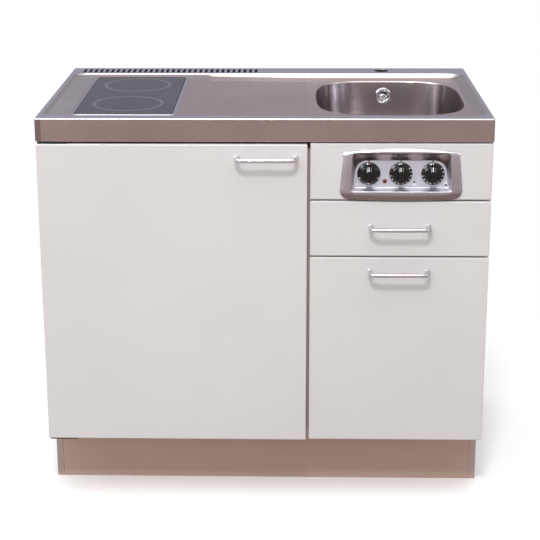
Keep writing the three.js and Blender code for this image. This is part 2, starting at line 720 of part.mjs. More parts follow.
function makeSink() {
  const sink = group(root, "sink");
  const overflowZ = TRAY_FLOOR_Z - OVERFLOW_BELOW_RIM;
  const wallLean = BOWL_DRAFT * (OVERFLOW_BELOW_RIM / (BOWL_DEPTH - BOWL_FLOOR_RADIUS));
  const backWall = BOWL_Y + BOWL_HALF_LENGTH - wallLean;
  const flange = upright(
    superellipse(
      BOWL_X,
      BOWL_Y,
      BOWL_HALF_WIDTH + BOWL_FLANGE,
      BOWL_HALF_LENGTH + BOWL_FLANGE,
    ),
    [BOWL_TOP - BOWL_WALL, BOWL_TOP],
  );
  const drainHole = bar(
    DRAIN_CUP_RADIUS + FIT,
    [BOWL_X, BOWL_Y, BOWL_UNDERSIDE - 1],
    [BOWL_X, BOWL_Y, BOWL_FLOOR + 1],
    32,
  );
  const overflowHole = bar(
    OVERFLOW_HOSE_RADIUS + SEAT,
    [BOWL_X, backWall - 10, overflowZ],
    [BOWL_X, backWall + 10, overflowZ],
  );
  const bowl = loft(bowlSections(BOWL_WALL))
    .add(flange)
    .subtract(loft(bowlSections(0)))
    .subtract(drainHole)
    .subtract(overflowHole);
  add(sink, "sink_bowl", bowl, "steel");

  // The rosette covers the overflow: a domed disc with four water slots and a hollow stem.
  const rosetteBack = backWall - RUN_GAP - SEAT;
  const lean = THREE.MathUtils.radToDeg(Math.atan2(BOWL_DRAFT, BOWL_DEPTH - BOWL_FLOOR_RADIUS));
  const stemRadius = OVERFLOW_HOSE_RADIUS * 0.6;
  const dome = turned([
    [0, 0],
    [OVERFLOW_RADIUS, 0],
    [OVERFLOW_RADIUS, OVERFLOW_THICKNESS * 0.4],
    [OVERFLOW_RADIUS * 0.8, OVERFLOW_THICKNESS * 0.85],
    [OVERFLOW_RADIUS * 0.3, OVERFLOW_THICKNESS],
    [0, OVERFLOW_THICKNESS],
  ]);
  const slots = [0, 1, 2, 3].map((k) =>
    block([-2, 2], [OVERFLOW_RADIUS * 0.3, OVERFLOW_RADIUS * 0.8], [-1, OVERFLOW_THICKNESS + 1])
      .rotate([0, 0, 90 * k]),
  );
  const stem = bar(stemRadius, [0, 0, -BOWL_WALL], [0, 0, 1], 12);
  const rosette = dome.add(stem).subtract(wasm.Manifold.union(slots)).rotate([90 - lean, 0, 0]);
  add(sink, "overflow_rosette", rosette, "chrome", [BOWL_X, rosetteBack, overflowZ]);

  // Drain: a flange with a cup, the strainer basket in it, and the plastic body below.
  const drain = group(sink, "drain", [BOWL_X, BOWL_Y, 0]);
  const flangeFoot = BOWL_FLOOR + SEAT;
  const flangeTop = flangeFoot + DRAIN_WALL;
  const cupFoot = flangeTop - DRAIN_CUP_DEPTH;
  const cupInner = DRAIN_CUP_RADIUS - DRAIN_WALL;
  const outletRadius = DRAIN_CUP_RADIUS * 0.4;
  const flangeSolid = turned([
    [outletRadius, cupFoot],
    [DRAIN_CUP_RADIUS, cupFoot],
    [DRAIN_CUP_RADIUS, flangeFoot],
    [DRAIN_FLANGE_RADIUS, flangeFoot],
    [DRAIN_FLANGE_RADIUS, flangeFoot + DRAIN_WALL / 2],
    [DRAIN_FLANGE_RADIUS - DRAIN_WALL, flangeTop],
    [cupInner, flangeTop],
    [cupInner, cupFoot + DRAIN_WALL],
    [outletRadius, cupFoot + DRAIN_WALL],
  ], 32);
  add(drain, "drain_flange", flangeSolid, "chrome");

  const basketOuter = cupInner - RUN_GAP;
  const basketFoot = cupFoot + DRAIN_WALL + SEAT;
  const basketWall = 1.2;
  const basketProfile = [
    [0, basketFoot],
    [basketOuter - 3, basketFoot],
    [basketOuter, flangeTop - 4],
    [basketOuter, flangeTop],
    [basketOuter - basketWall, flangeTop],
    [basketOuter - 3 - basketWall, basketFoot + basketWall],
    [3, basketFoot + basketWall],
    [3, flangeTop],
    [7, flangeTop + 2],
    [7, flangeTop + 6],
    [0, flangeTop + 8],
  ];
  const strainSlots = Array.from({ length: 10 }, (_, k) =>
    block([-1.5, 1.5], [basketOuter * 0.35, basketOuter * 0.8], [basketFoot - 1, basketFoot + 3])
      .rotate([0, 0, 36 * k]),
  );
  const basket = turned(basketProfile).subtract(wasm.Manifold.union(strainSlots));
  add(drain, "strainer_basket", basket, "chrome");

  // Drain body with a waste outlet to the back and an overflow inlet to the right.
  const bodyTop = BOWL_UNDERSIDE - SEAT;
  const bodyInner = DRAIN_CUP_RADIUS + 1.5;
  const bodyOuter = bodyInner + 3;
  const socketInner = WASTE_RADIUS + SEAT;
  const socketEnd = bodyOuter + 27;
  const inletZ = WASTE_Z + 2;
  const inletEnd = bodyOuter + 22;
  const hoseBore = OVERFLOW_HOSE_RADIUS + SEAT;
  const body = turned([
    [0, DRAIN_BODY_FOOT],
    [bodyOuter, DRAIN_BODY_FOOT],
    [bodyOuter, bodyTop - 3],
    [DRAIN_FLANGE_RADIUS, bodyTop - 3],
    [DRAIN_FLANGE_RADIUS, bodyTop],
    [0, bodyTop],
  ])
    .add(bar(socketInner + 3, [0, 0, WASTE_Z], [0, socketEnd, WASTE_Z]))
    .add(bar(hoseBore + 2.5, [0, 0, inletZ], [inletEnd, 0, inletZ]))
    .subtract(bar(bodyInner, [0, 0, DRAIN_BODY_FOOT + 3], [0, 0, bodyTop + 1], 24))
    .subtract(bar(socketInner, [0, 0, WASTE_Z], [0, socketEnd + 1, WASTE_Z], 24))
    .subtract(bar(hoseBore, [0, 0, inletZ], [inletEnd + 1, 0, inletZ], 24));
  add(drain, "drain_body", body, "whitePlastic");

  // The hose runs from behind the overflow down and round under the bowl into the inlet.
  const behindBowl = BOWL_HALF_LENGTH + OVERFLOW_HOSE_RADIUS + 6;
  const hose = tube(
    bentPath(
      [
        [0, backWall - BOWL_Y + BOWL_WALL + SEAT, overflowZ],
        [0, behindBowl, overflowZ],
        [30, behindBowl, inletZ + 40],
        [BOWL_HALF_WIDTH / 2, BOWL_HALF_LENGTH * 0.72, inletZ],
        [BOWL_HALF_WIDTH / 2 + 12, 0, inletZ],
        [bodyOuter + 4, 0, inletZ],
      ],
      12,
    ),
    OVERFLOW_HOSE_RADIUS,
    { sides: 8, steps: 26 },
  );
  add(drain, "overflow_hose", hose, "whitePlastic");

  // Waste pipe to the bottle trap, and the trap's outlet to the wall.
  const trapY = BACK - TRAP_FROM_BACK;
  const trapTop = BOWL_UNDERSIDE - TRAP_TOP_BELOW_BOWL;
  const pipe = tube(
    bentPath(
      [
        [0, bodyOuter + 4, WASTE_Z],
        [0, trapY - BOWL_Y, WASTE_Z],
        [0, trapY - BOWL_Y, trapTop - 20],
      ],
      32,
    ),
    WASTE_RADIUS,
    { bore: WASTE_RADIUS - WASTE_WALL, sides: 10, steps: 14 },
  );
  add(drain, "waste_pipe", pipe, "whitePlastic");

  const neckOuter = socketInner + 3;
  const trapShoulder = trapTop - TRAP_NECK_HEIGHT;
  const trapFoot = trapShoulder - TRAP_BODY_HEIGHT;
  const outletZ = trapShoulder - 22;
  const trap = turned([
    [0, trapFoot],
    [TRAP_RADIUS - 5, trapFoot],
    [TRAP_RADIUS, trapFoot + 8],
    [TRAP_RADIUS, trapShoulder],
    [neckOuter, trapShoulder + 10],
    [neckOuter, trapTop],
    [0, trapTop],
  ])
    .add(bar(WASTE_RADIUS, [0, 0, outletZ], [0, CASE_BACK - trapY, outletZ]))
    .subtract(turned([
      [0, trapFoot + 3],
      [TRAP_RADIUS - 3, trapFoot + 8],
      [TRAP_RADIUS - 3, trapShoulder - 2],
      [socketInner, trapShoulder + 8],
      [socketInner, trapTop + 1],
      [0, trapTop + 1],
    ]))
    .subtract(bar(WASTE_RADIUS - WASTE_WALL, [0, 0, outletZ], [0, TRAP_FROM_BACK + 1, outletZ]));
  add(drain, "bottle_trap", trap, "whitePlastic", [0, trapY - BOWL_Y, 0]);
}

// ---- Hob ------------------------------------------------------------------------------------

function makeHob() {
  const hob = group(root, "hob");
  const glassTop = TOP_HEIGHT + GLASS_PROUD;
  const glass = upright(glassOutline(0), [GLASS_FOOT, glassTop]);
  add(hob, "hob_glass", glass, "glass");

  const casingTop = GLASS_FOOT - SEAT;
  const outer = upright(glassOutline(-GLASS_LEDGE - FIT), [casingTop - CASING_DEPTH, casingTop]);
  const inner = upright(
    glassOutline(-GLASS_LEDGE - FIT - CASING_WALL),
    [casingTop - CASING_DEPTH + CASING_WALL, casingTop + 1],
  );
  add(hob, "hob_casing", outer.subtract(inner), "zinc");

  // Each heater is a dish of insulation with a coiled ribbon's groove, pressed to the glass.
  const height = CASING_DEPTH - CASING_WALL - SEAT;
  const heater = turned([
    [0, 0],
    [HEATER_RADIUS, 0],
    [HEATER_RADIUS, height],
    [HEATER_RADIUS - HEATER_WALL, height],
    [HEATER_RADIUS - HEATER_WALL, HEATER_FLOOR],
    [0, HEATER_FLOOR],
  ], 28);
  const heaterFoot = casingTop - CASING_DEPTH + CASING_WALL + SEAT;
  const place = (side) => [HOB_X, HOB_Y + (side * HEATER_SPACING) / 2, heaterFoot - SEAT / 2];
  add(hob, "heater_front", heater, "fibre", place(-1));
  add(hob, "heater_rear", heater, "fibre", place(1));
}

// ---- Bow handles ----------------------------------------------------------------------------

// A round rod bent out from the front, across and back, its ends against the face.
function bowHandle(parent, name, [x, face, z]) {
  const half = HANDLE_CENTRES / 2;
  const out = HANDLE_ROD_RADIUS - HANDLE_REACH;
  const path = bentPath(
    [
      [-half, -SEAT, 0],
      [-half, out, 0],
      [half, out, 0],
      [half, -SEAT, 0],
    ],
    HANDLE_BEND_RADIUS,
  );
  const rod = tube(path, HANDLE_ROD_RADIUS, { sides: 8, steps: 26 });
  add(parent, name, rod, "satinSilver", [x, face, z]);
}

// ---- Controls -------------------------------------------------------------------------------

const BEZEL_FACE = FRONT_FACE - BEZEL_PROUD;
const BEZEL_FOOT = CONTROL_FOOT + BEZEL_ABOVE_FRONT_FOOT;
const BEZEL_TOP = BEZEL_FOOT + BEZEL_HEIGHT - BEZEL_CROWN;
const WINDOW_Z = [BEZEL_FOOT + WINDOW_FOOT, BEZEL_TOP - WINDOW_TOP];
const PLATE_FACE = BEZEL_FACE + RECESS_DEPTH;
const PLATE_BACK = PLATE_FACE + PLATE_THICKNESS;
const KNOB_Z = BEZEL_FOOT + KNOB_ABOVE_FOOT;
const KNOB_BACK = PLATE_FACE - RUN_GAP;
const KNOB_LIFT = [-KNOB_SPACING, 0, KNOB_SPACING];

// The window in the bezel, or a deeper section of the recess behind it: `share` goes from 0 at
// the face to 1 at the plate, and `grow` moves the whole outline out.
function recessOutline(share, grow) {
  const topHalf = BEZEL_HALF_TOP - WINDOW_SIDE - RECESS_SIDE_SLOPE * share + grow;
  const footHalf = BEZEL_HALF_WIDE - WINDOW_SIDE - RECESS_SIDE_SLOPE * share + grow;
  const foot = WINDOW_Z[0] + RECESS_FOOT_SLOPE * share - grow;
  const top = WINDOW_Z[1] - RECESS_TOP_SLOPE * share + grow;
  const topRadius = 20 + 8 * share;
  return rounded([
    [-footHalf, foot, 5],
    [footHalf, foot, 5],
    [topHalf, top, topRadius],
    [-topHalf, top, topRadius],
  ]);
}

// The bezel's own outline: crowned at the top, bulging at the foot, widest just above it.
function bezelOutline() {
  const shape = new THREE.Shape();
  const corner = 8;
  const wideZ = BEZEL_FOOT + BEZEL_FOOT_HEIGHT;
  const side = BEZEL_HALF_TOP;
  shape.moveTo(-BEZEL_HALF_FOOT, BEZEL_FOOT);
  shape.quadraticCurveTo(0, BEZEL_FOOT - 1.4 * BEZEL_CROWN, BEZEL_HALF_FOOT, BEZEL_FOOT);
  shape.quadraticCurveTo(BEZEL_HALF_WIDE, BEZEL_FOOT + 2, BEZEL_HALF_WIDE, wideZ);
  shape.lineTo(side, BEZEL_TOP - corner);
  shape.quadraticCurveTo(side, BEZEL_TOP, side - corner, BEZEL_TOP + 1);
  shape.quadraticCurveTo(0, BEZEL_TOP + 2 * BEZEL_CROWN, corner - side, BEZEL_TOP + 1);
  shape.quadraticCurveTo(-side, BEZEL_TOP, -side, BEZEL_TOP - corner);
  shape.lineTo(-BEZEL_HALF_WIDE, wideZ);
  shape.quadraticCurveTo(-BEZEL_HALF_WIDE, BEZEL_FOOT + 2, -BEZEL_HALF_FOOT, BEZEL_FOOT);
  return shape.getPoints(6).slice(0, -1);
}

function makeControls() {
  const controls = group(root, "controls", [FRONTS_X, 0, 0]);
  const half = (FRONTS_RIGHT - FRONTS_LEFT) / 2;
  const opening = facing(
    recessOutline(0, BEZEL_WALL + FIT),
    [FRONT_FACE - 1, FRONT_BACK_FACE + 1],
  );
  const front = block([-half, half], [FRONT_FACE, FRONT_BACK_FACE], [CONTROL_FOOT, CONTROL_TOP]);
  add(controls, "control_front", front.subtract(opening), "frontWhite");

  // Bezel: a proud face plate with a tapering recess behind its window.
  const face = facing(bezelOutline(), [BEZEL_FACE, FRONT_FACE - SEAT]);
  const pastPlate = 1 + PLATE_THICKNESS / RECESS_DEPTH;
  const recess = (grow, share, y) => atDepth(recessOutline(share, grow), y);
  const outer = loft([
    recess(BEZEL_WALL, 0, BEZEL_FACE),
    recess(BEZEL_WALL, pastPlate, PLATE_BACK),
  ]);
  const inner = loft([
    recess(0, -0.1, BEZEL_FACE - 0.1 * RECESS_DEPTH),
    recess(0, pastPlate + 0.1, PLATE_BACK + 0.1 * RECESS_DEPTH),
  ]);
  add(controls, "control_bezel", face.add(outer).subtract(inner), "greyPlastic");

  const lampZ = KNOB_Z - LAMP_BELOW_KNOB;
  const lampX = -KNOB_SPACING / 2;
  let plate = facing(recessOutline(pastPlate, -SEAT), [PLATE_FACE, PLATE_BACK]);
  for (const x of KNOB_LIFT) {
    const hole = [SPINDLE_RADIUS + RUN_GAP, [x, PLATE_FACE - 1, KNOB_Z], [x, PLATE_BACK + 1, KNOB_Z]];
    plate = plate.subtract(bar(...hole));
  }
  const lampHole = bar(LAMP_RADIUS + SEAT, [lampX, PLATE_FACE - 1, lampZ], [lampX, PLATE_BACK + 1, lampZ]);
  add(controls, "control_plate", plate.subtract(lampHole), "plateGrey");

  // Knobs: a tapered skirt with a grip bar, on a spindle that runs into its switch.
  const skirt = turned([
    [0, 0],
    [KNOB_RADIUS, 0],
    [KNOB_RADIUS, KNOB_SKIRT_RIM],
    [KNOB_RADIUS - 2.5, KNOB_SKIRT - 1.5],
    [KNOB_RADIUS - 4.5, KNOB_SKIRT],
    [0, KNOB_SKIRT],
  ], 28);
  const gripHalf = KNOB_RADIUS - 2;
  const gripOutline = (inset) =>
    roundedRectangle(
      [inset - KNOB_GRIP_WIDTH / 2, KNOB_GRIP_WIDTH / 2 - inset],
      [inset - gripHalf, gripHalf - inset],
      KNOB_GRIP_WIDTH / 2 - inset - 0.5,
      3,
    );
  const grip = loft([
    atHeight(gripOutline(0), KNOB_SKIRT - KNOB_GRIP_SINK),
    atHeight(gripOutline(0.8), KNOB_SKIRT + KNOB_GRIP_HEIGHT - 2),
    atHeight(gripOutline(2.2), KNOB_SKIRT + KNOB_GRIP_HEIGHT),
  ]);
  const spindleEnd = SWITCH_DEPTH * 0.75 + PLATE_THICKNESS;
  const spindle = bar(SPINDLE_RADIUS, [0, 0, -spindleEnd], [0, 0, 1], 12);
  const knob = skirt.add(grip).add(spindle).rotate([90, 0, 0]);

  // Rotary switches behind the plate, each with the hole that its spindle turns in.
  const switchHalf = SWITCH_SIDE / 2;
  const switchFront = PLATE_BACK + SEAT;
  const rotarySwitch = block(
    [-switchHalf, switchHalf],
    [0, SWITCH_DEPTH],
    [-switchHalf, switchHalf],
  ).subtract(bar(SPINDLE_RADIUS + RUN_GAP, [0, -1, 0], [0, SWITCH_DEPTH * 0.85, 0], 12));
  const names = ["timer", "front_zone", "rear_zone"];
  names.forEach((name, i) => {
    add(controls, `${name}_knob`, knob, "blackPlastic", [KNOB_LIFT[i], KNOB_BACK, KNOB_Z]);
    const at = [KNOB_LIFT[i], switchFront, KNOB_Z];
    add(controls, `${name}_switch`, rotarySwitch, "whitePlastic", at);
  });

  const lamp = turned([
    [0, 0],
    [LAMP_RADIUS, 0],
    [LAMP_RADIUS, LAMP_LENGTH - 2],
    [LAMP_RADIUS * 0.6, LAMP_LENGTH],
    [0, LAMP_LENGTH],
  ], 16).rotate([90, 0, 0]);
  add(controls, "pilot_lamp", lamp, "red", [lampX, PLATE_FACE - LAMP_PROUD + LAMP_LENGTH, lampZ]);

  // The box that closes the wiring space, screwed to the back of the control front.
  const boxFront = FRONT_BACK_FACE + SEAT;
  const boxBack = boxFront + CONTROL_BOX_DEPTH;
  const boxHalf = BEZEL_HALF_TOP - WINDOW_SIDE + BEZEL_WALL + CONTROL_BOX_MARGIN;
  const boxTop = CASE_TOP - RAIL_HEIGHT - SEAT;
  const boxFoot = CONTROL_FOOT + CONTROL_BOX_RISE;
  const w = CONTROL_BOX_WALL;
  const box = block([-boxHalf, boxHalf], [boxFront, boxBack], [boxFoot, boxTop]).subtract(
    block([w - boxHalf, boxHalf - w], [boxFront - 1, boxBack - w], [boxFoot + w, boxTop - w]),
  );
  add(controls, "control_box", box, "zinc");
}

// ---- Refrigerator ---------------------------------------------------------------------------

// A tray, rack or drawer: a block with its inside taken out from above.
function openBox(x, y, z, wall, floor = wall) {
  const inside = ([low, high], rim) => [low + rim, high - rim];
  return block(x, y, z).subtract(block(inside(x, wall), inside(y, wall), [z[0] + floor, z[1] + 1]));
}

function makeRefrigerator() {
  const fridge = group(root, "refrigerator");
  const inside = FRIDGE_INSIDE;
  const ribAt = (height) => FRIDGE_FOOT + height;
  const shelfHeights = [LOWER_SHELF_HEIGHT, UPPER_SHELF_HEIGHT];
  const bayX = [FRIDGE_LEFT - 1, FRIDGE_RIGHT + 1];
  const stepWall = FRIDGE_WALL * 0.75;
  const step = block(
    [inside.x[0] - 1, inside.x[1] + 1],
    [BAY_FRONT - stepWall, FRIDGE_BACK],
    [FRIDGE_FOOT, BAY_TOP + stepWall],
  );
  let cabinet = block([FRIDGE_LEFT, FRIDGE_RIGHT], [FRIDGE_FRONT, FRIDGE_BACK], [FRIDGE_FOOT, FRIDGE_TOP])
    .subtract(block(inside.x, [inside.y[0] - 1, inside.y[1]], inside.z).subtract(step))
    .subtract(block(bayX, [BAY_FRONT, FRIDGE_BACK + 1], [FRIDGE_FOOT - 1, BAY_TOP]));
  for (const height of shelfHeights) {
    const z = [ribAt(height) - SHELF_RIB, ribAt(height)];
    const y = [SHELF_FRONT, inside.y[1] + 1];
    cabinet = cabinet
      .add(block([inside.x[0] - 1, inside.x[0] + SHELF_RIB], y, z))
      .add(block([inside.x[1] - SHELF_RIB, inside.x[1] + 1], y, z));
  }
  add(fridge, "fridge_cabinet", cabinet, "whitePlastic");

  ["fridge_shelf_lower", "fridge_shelf_upper"].forEach((name, i) => {
    const foot = ribAt(shelfHeights[i]) + SEAT;
    const shelf = block(
      [inside.x[0] + RUN_GAP, inside.x[1] - RUN_GAP],
      [SHELF_FRONT, inside.y[1] - RUN_GAP],
      [0, SHELF_THICKNESS],
    );
    add(fridge, name, shelf, "clear", [0, 0, foot]);
  });

  const crisper = openBox(
    [inside.x[0] + SHELF_RIB, inside.x[1] - SHELF_RIB],
    [SHELF_FRONT, BAY_FRONT - stepWall - FIT],
    [inside.z[0] + SEAT, inside.z[0] + SEAT + CRISPER_HEIGHT],
    CRISPER_WALL,
  );
  add(fridge, "crisper_drawer", crisper, "clear");

  // Thermostat on the inside ceiling, its dial facing the door.
  const thermostatX = (inside.x[0] + inside.x[1]) / 2;
  const thermostatFront = FRIDGE_FRONT + THERMOSTAT_SETBACK;
  const thermostatZ = inside.z[1] - SEAT - THERMOSTAT_HEIGHT / 2;
  const dialBore = bar(SPINDLE_RADIUS + RUN_GAP, [0, -1, 0], [0, 12, 0], 12);
  const housing = block(
    [-THERMOSTAT_WIDTH / 2, THERMOSTAT_WIDTH / 2],
    [0, THERMOSTAT_DEPTH],
    [-THERMOSTAT_HEIGHT / 2, THERMOSTAT_HEIGHT / 2],
  ).subtract(dialBore);
  const at = [thermostatX, thermostatFront, thermostatZ];
  add(fridge, "thermostat_housing", housing, "whitePlastic", at);
  const dial = turned([
    [0, 0],
    [THERMOSTAT_KNOB_RADIUS, 0],
    [THERMOSTAT_KNOB_RADIUS - 1.5, THERMOSTAT_KNOB_DEPTH],
    [0, THERMOSTAT_KNOB_DEPTH],
  ], 20)
    .add(block([-1.5, 1.5], [0, THERMOSTAT_KNOB_RADIUS - 3], [1, THERMOSTAT_KNOB_DEPTH + 2]))
    .add(bar(SPINDLE_RADIUS, [0, 0, -9], [0, 0, 1], 12))
    .rotate([90, 0, 0]);
  add(fridge, "thermostat_knob", dial, "greyPlastic", [at[0], at[1] - RUN_GAP, at[2]]);

  // Compressor on its foot plate in the bay, and the condenser coil on the back.
  const bayMiddle = (BAY_FRONT + FRIDGE_BACK) / 2;
  const shell = turned([
    [0, COMPRESSOR_FOOT / 2],
    [COMPRESSOR_RADIUS * 0.8, COMPRESSOR_FOOT / 2],
    [COMPRESSOR_RADIUS, COMPRESSOR_FOOT + 14],
    [COMPRESSOR_RADIUS, COMPRESSOR_HEIGHT - 40],
    [COMPRESSOR_RADIUS * 0.86, COMPRESSOR_HEIGHT - 16],
    [COMPRESSOR_RADIUS * 0.5, COMPRESSOR_HEIGHT - 3],
    [0, COMPRESSOR_HEIGHT],
  ]);
  const foot = block(
    [-COMPRESSOR_RADIUS * 1.4, COMPRESSOR_RADIUS * 1.4],
    [-COMPRESSOR_RADIUS, COMPRESSOR_RADIUS],
    [0, COMPRESSOR_FOOT],
  );
  add(fridge, "compressor", shell.add(foot), "blackPlastic", [
    FRIDGE_LEFT + FRIDGE_WIDTH * 0.7,
    bayMiddle,
    FRIDGE_FOOT,
  ]);
  const coilHalf = FRIDGE_WIDTH / 2 - CONDENSER_MARGIN;
  const coilY = FRIDGE_BACK + CONDENSER_RADIUS + SEAT;
  const corners = [];
  for (let run = 0; run < CONDENSER_RUNS; run += 1) {
    const side = run % 2 ? 1 : -1;
    corners.push([-side * coilHalf, 0, run * CONDENSER_PITCH]);
    corners.push([side * coilHalf, 0, run * CONDENSER_PITCH]);
  }
  const legs = corners.slice(1).map((end, i) => {
    const along = new THREE.Vector3(...end).sub(new THREE.Vector3(...corners[i]));
    const past = along.setLength(CONDENSER_RADIUS).toArray();
    const start = corners[i].map((value, axis) => value - past[axis]);
    return bar(CONDENSER_RADIUS, start, end.map((value, axis) => value + past[axis]), 6);
  });
  add(fridge, "condenser", wasm.Manifold.union(legs), "zinc", [
    (FRIDGE_LEFT + FRIDGE_RIGHT) / 2,
    coilY,
    BAY_TOP + CONDENSER_ABOVE_BAY,
  ]);
}

// ---- Refrigerator door and decor panel, hung at the left edge -------------------------------

function makeDoor() {
  const door = group(root, "door", [HINGE_X, HINGE_Y, 0]);
  const own = (x) => x - HINGE_X;
  const deep = (y) => y - HINGE_Y;
  const doorFoot = FRIDGE_FOOT + SEAT;
  const doorTop = FRIDGE_TOP - FRIDGE_DOOR_TOP_GAP;
  const slabX = [own(FRIDGE_LEFT), own(FRIDGE_RIGHT)];
  const slabY = [deep(FRIDGE_DOOR_FRONT), deep(FRIDGE_DOOR_BACK)];
  add(door, "fridge_door", block(slabX, slabY, [doorFoot, doorTop]), "whitePlastic");

  const gasketY = [slabY[1] + SEAT, slabY[1] + SEAT + GASKET_THICKNESS];
  const gasketX = [slabX[0] + GASKET_MARGIN, slabX[1] - GASKET_MARGIN];
  const gasketZ = [doorFoot + GASKET_MARGIN, doorTop - GASKET_MARGIN];
  const w = GASKET_WIDTH;
  const gasket = block(gasketX, gasketY, gasketZ).subtract(
    block(
      [gasketX[0] + w, gasketX[1] - w],
      [gasketY[0] - 1, gasketY[1] + 1],
      [gasketZ[0] + w, gasketZ[1] - w],
    ),
  );
  add(door, "door_gasket", gasket, "rubber");

  // Racks hang on the inner face, narrower at the free end so that they swing clear.
  const rackX = [
    own(FRIDGE_INSIDE.x[0]) + RACK_SIDE_GAP,
    own(FRIDGE_INSIDE.x[1]) - RACK_SWING_GAP,
  ];
  const rackY = [slabY[1] + SEAT, slabY[1] + SEAT + RACK_DEPTH];
  const rack = openBox(rackX, rackY, [0, RACK_HEIGHT], RACK_WALL);
  add(door, "door_rack_lower", rack, "clear", [0, 0, FRIDGE_FOOT + LOWER_RACK_HEIGHT]);
  add(door, "door_rack_upper", rack, "clear", [0, 0, FRIDGE_FOOT + UPPER_RACK_HEIGHT]);

  const panel = block(
    [own(DOOR_LEFT), own(DOOR_RIGHT)],
    [deep(DOOR_FACE), deep(DOOR_BACK_FACE)],
    [FRONTS_BOTTOM, DOOR_TOP],
  );
  const pinHole = (z0, z1) => bar(HINGE_PIN_RADIUS + RUN_GAP, [0, 0, z0], [0, 0, z1], 12);
  const holeDepth = HINGE_PIN_LENGTH + FIT;
  add(
    door,
    "decor_panel",
    panel
      .subtract(pinHole(DOOR_TOP - holeDepth, DOOR_TOP + 1))
      .subtract(pinHole(FRONTS_BOTTOM - 1, FRONTS_BOTTOM + holeDepth)),
    "frontWhite",
  );
  bowHandle(door, "door_handle", [
    own(DOOR_RIGHT - DOOR_HANDLE_FROM_EDGE),
    deep(DOOR_FACE),
    DOOR_TOP - DOOR_HANDLE_FROM_TOP,
  ]);

  // Hinge brackets: a leaf in the gap over (or under) the panel carries the pin, and an upright
  // leaf is screwed to the front edge of the rail (or of the bottom panel).
  const hinges = group(root, "hinges", [HINGE_X, HINGE_Y, 0]);
  const leafX = [-HINGE_INSET / 2 - HINGE_PIN_RADIUS / 2, HINGE_WIDTH];
  const uprightX = [HINGE_INSET + SEAT, HINGE_WIDTH];
  const uprightY = [deep(CASE_FRONT) - SEAT - HINGE_LEAF, deep(CASE_FRONT) - SEAT];
  const leafY = [-HINGE_PIN_RADIUS - 2, uprightY[1]];
  const topLeaf = [DOOR_TOP + HINGE_LEAF_GAP, DOOR_TOP + HINGE_LEAF_GAP + HINGE_LEAF];
  const bottomLeaf = [FRONTS_BOTTOM - HINGE_LEAF_GAP - HINGE_LEAF, FRONTS_BOTTOM - HINGE_LEAF_GAP];
  const pin = (z0, z1) => bar(HINGE_PIN_RADIUS, [0, 0, z0], [0, 0, z1], 12);
  const topBracket = block(leafX, leafY, topLeaf)
    .add(block(uprightX, uprightY, [topLeaf[1] - HINGE_RISE, topLeaf[1]]))
    .add(pin(DOOR_TOP - HINGE_PIN_LENGTH, topLeaf[1]));
  const bottomBracket = block(leafX, leafY, bottomLeaf)
    .add(block(uprightX, uprightY, [bottomLeaf[0], BOTTOM_TOP]))
    .add(pin(bottomLeaf[0], FRONTS_BOTTOM + HINGE_PIN_LENGTH));
  add(hinges, "hinge_bracket_top", topBracket, "zinc");
  add(hinges, "hinge_bracket_bottom", bottomBracket, "zinc");
}

// ---- Drawer and waste pull-out --------------------------------------------------------------

// Two fixed runners, the tray that slides on them, its front and its handle.
function makeSlide(name, frontZ, runnerFoot, trayHeight, handleDrop) {
  const fixed = group(root, `${name}_runners`);
  const runnerTop = runnerFoot + RUNNER_SIDE;
  const runner = (x) =>
    block([x, x + RUNNER_SIDE], [CASE_FRONT + SEAT, SLIDE_BACK], [runnerFoot, runnerTop]);
  add(fixed, `${name}_runner_left`, runner(PARTITION_RIGHT + SEAT), "zinc");
  add(fixed, `${name}_runner_right`, runner(INNER_RIGHT - SEAT - RUNNER_SIDE), "zinc");

  const moving = group(root, name);
  const trayFoot = runnerTop + RUN_GAP;
  const tray = openBox(
    [SLIDE_LEFT, SLIDE_RIGHT],
    [CASE_FRONT, SLIDE_BACK],
    [trayFoot, trayFoot + trayHeight],
    TRAY_SIDE,
    TRAY_FLOOR,
  );
  add(moving, `${name}_tray`, tray, "whitePlastic");
  const front = block([FRONTS_LEFT, FRONTS_RIGHT], [FRONT_FACE, FRONT_BACK_FACE], frontZ);
  add(moving, `${name}_front`, front, "frontWhite");
  bowHandle(moving, `${name}_handle`, [FRONTS_X, FRONT_FACE, frontZ[1] - handleDrop]);
  return { moving, trayFoot };
}

function makeSlides() {
  makeSlide(
    "drawer",
    [DRAWER_FOOT, DRAWER_TOP],
    DRAWER_FOOT + DRAWER_RUNNER_RISE,
    DRAWER_TRAY_HEIGHT,
    DRAWER_HANDLE_FROM_TOP,
  );
  const { moving, trayFoot } = makeSlide(
    "pullout",
    [FRONTS_BOTTOM, PULLOUT_TOP],
    BOTTOM_TOP + PULLOUT_RUNNER_RISE,
    PULLOUT_TRAY_HEIGHT,
    PULLOUT_HANDLE_FROM_TOP,
  );

  // The bin tapers to its foot and has a turned-out rim; it stands in the pull-out tray.
  const outline = (inset) =>
    roundedRectangle(
      [inset - BIN_WIDTH / 2, BIN_WIDTH / 2 - inset],
      [inset - BIN_LENGTH / 2, BIN_LENGTH / 2 - inset],
      BIN_CORNER_RADIUS,
      3,
    );
  const rim = upright(outline(-BIN_RIM / 2), [BIN_HEIGHT - BIN_RIM, BIN_HEIGHT]);
  const outside = loft([atHeight(outline(BIN_TAPER), 0), atHeight(outline(0), BIN_HEIGHT)]);
  const hollow = loft([
    atHeight(outline(BIN_TAPER + BIN_WALL), BIN_WALL),
    atHeight(outline(BIN_WALL), BIN_HEIGHT + 1),
  ]);
  add(moving, "waste_bin", outside.add(rim).subtract(hollow), "greyPlastic", [
    FRONTS_X,
    CASE_FRONT + SLIDE_DEPTH / 2,
    trayFoot + TRAY_FLOOR + SEAT,
  ]);
}

makeCabinet();
makeWorktop();
makeSink();
makeHob();
makeControls();
makeRefrigerator();
makeDoor();
makeSlides();

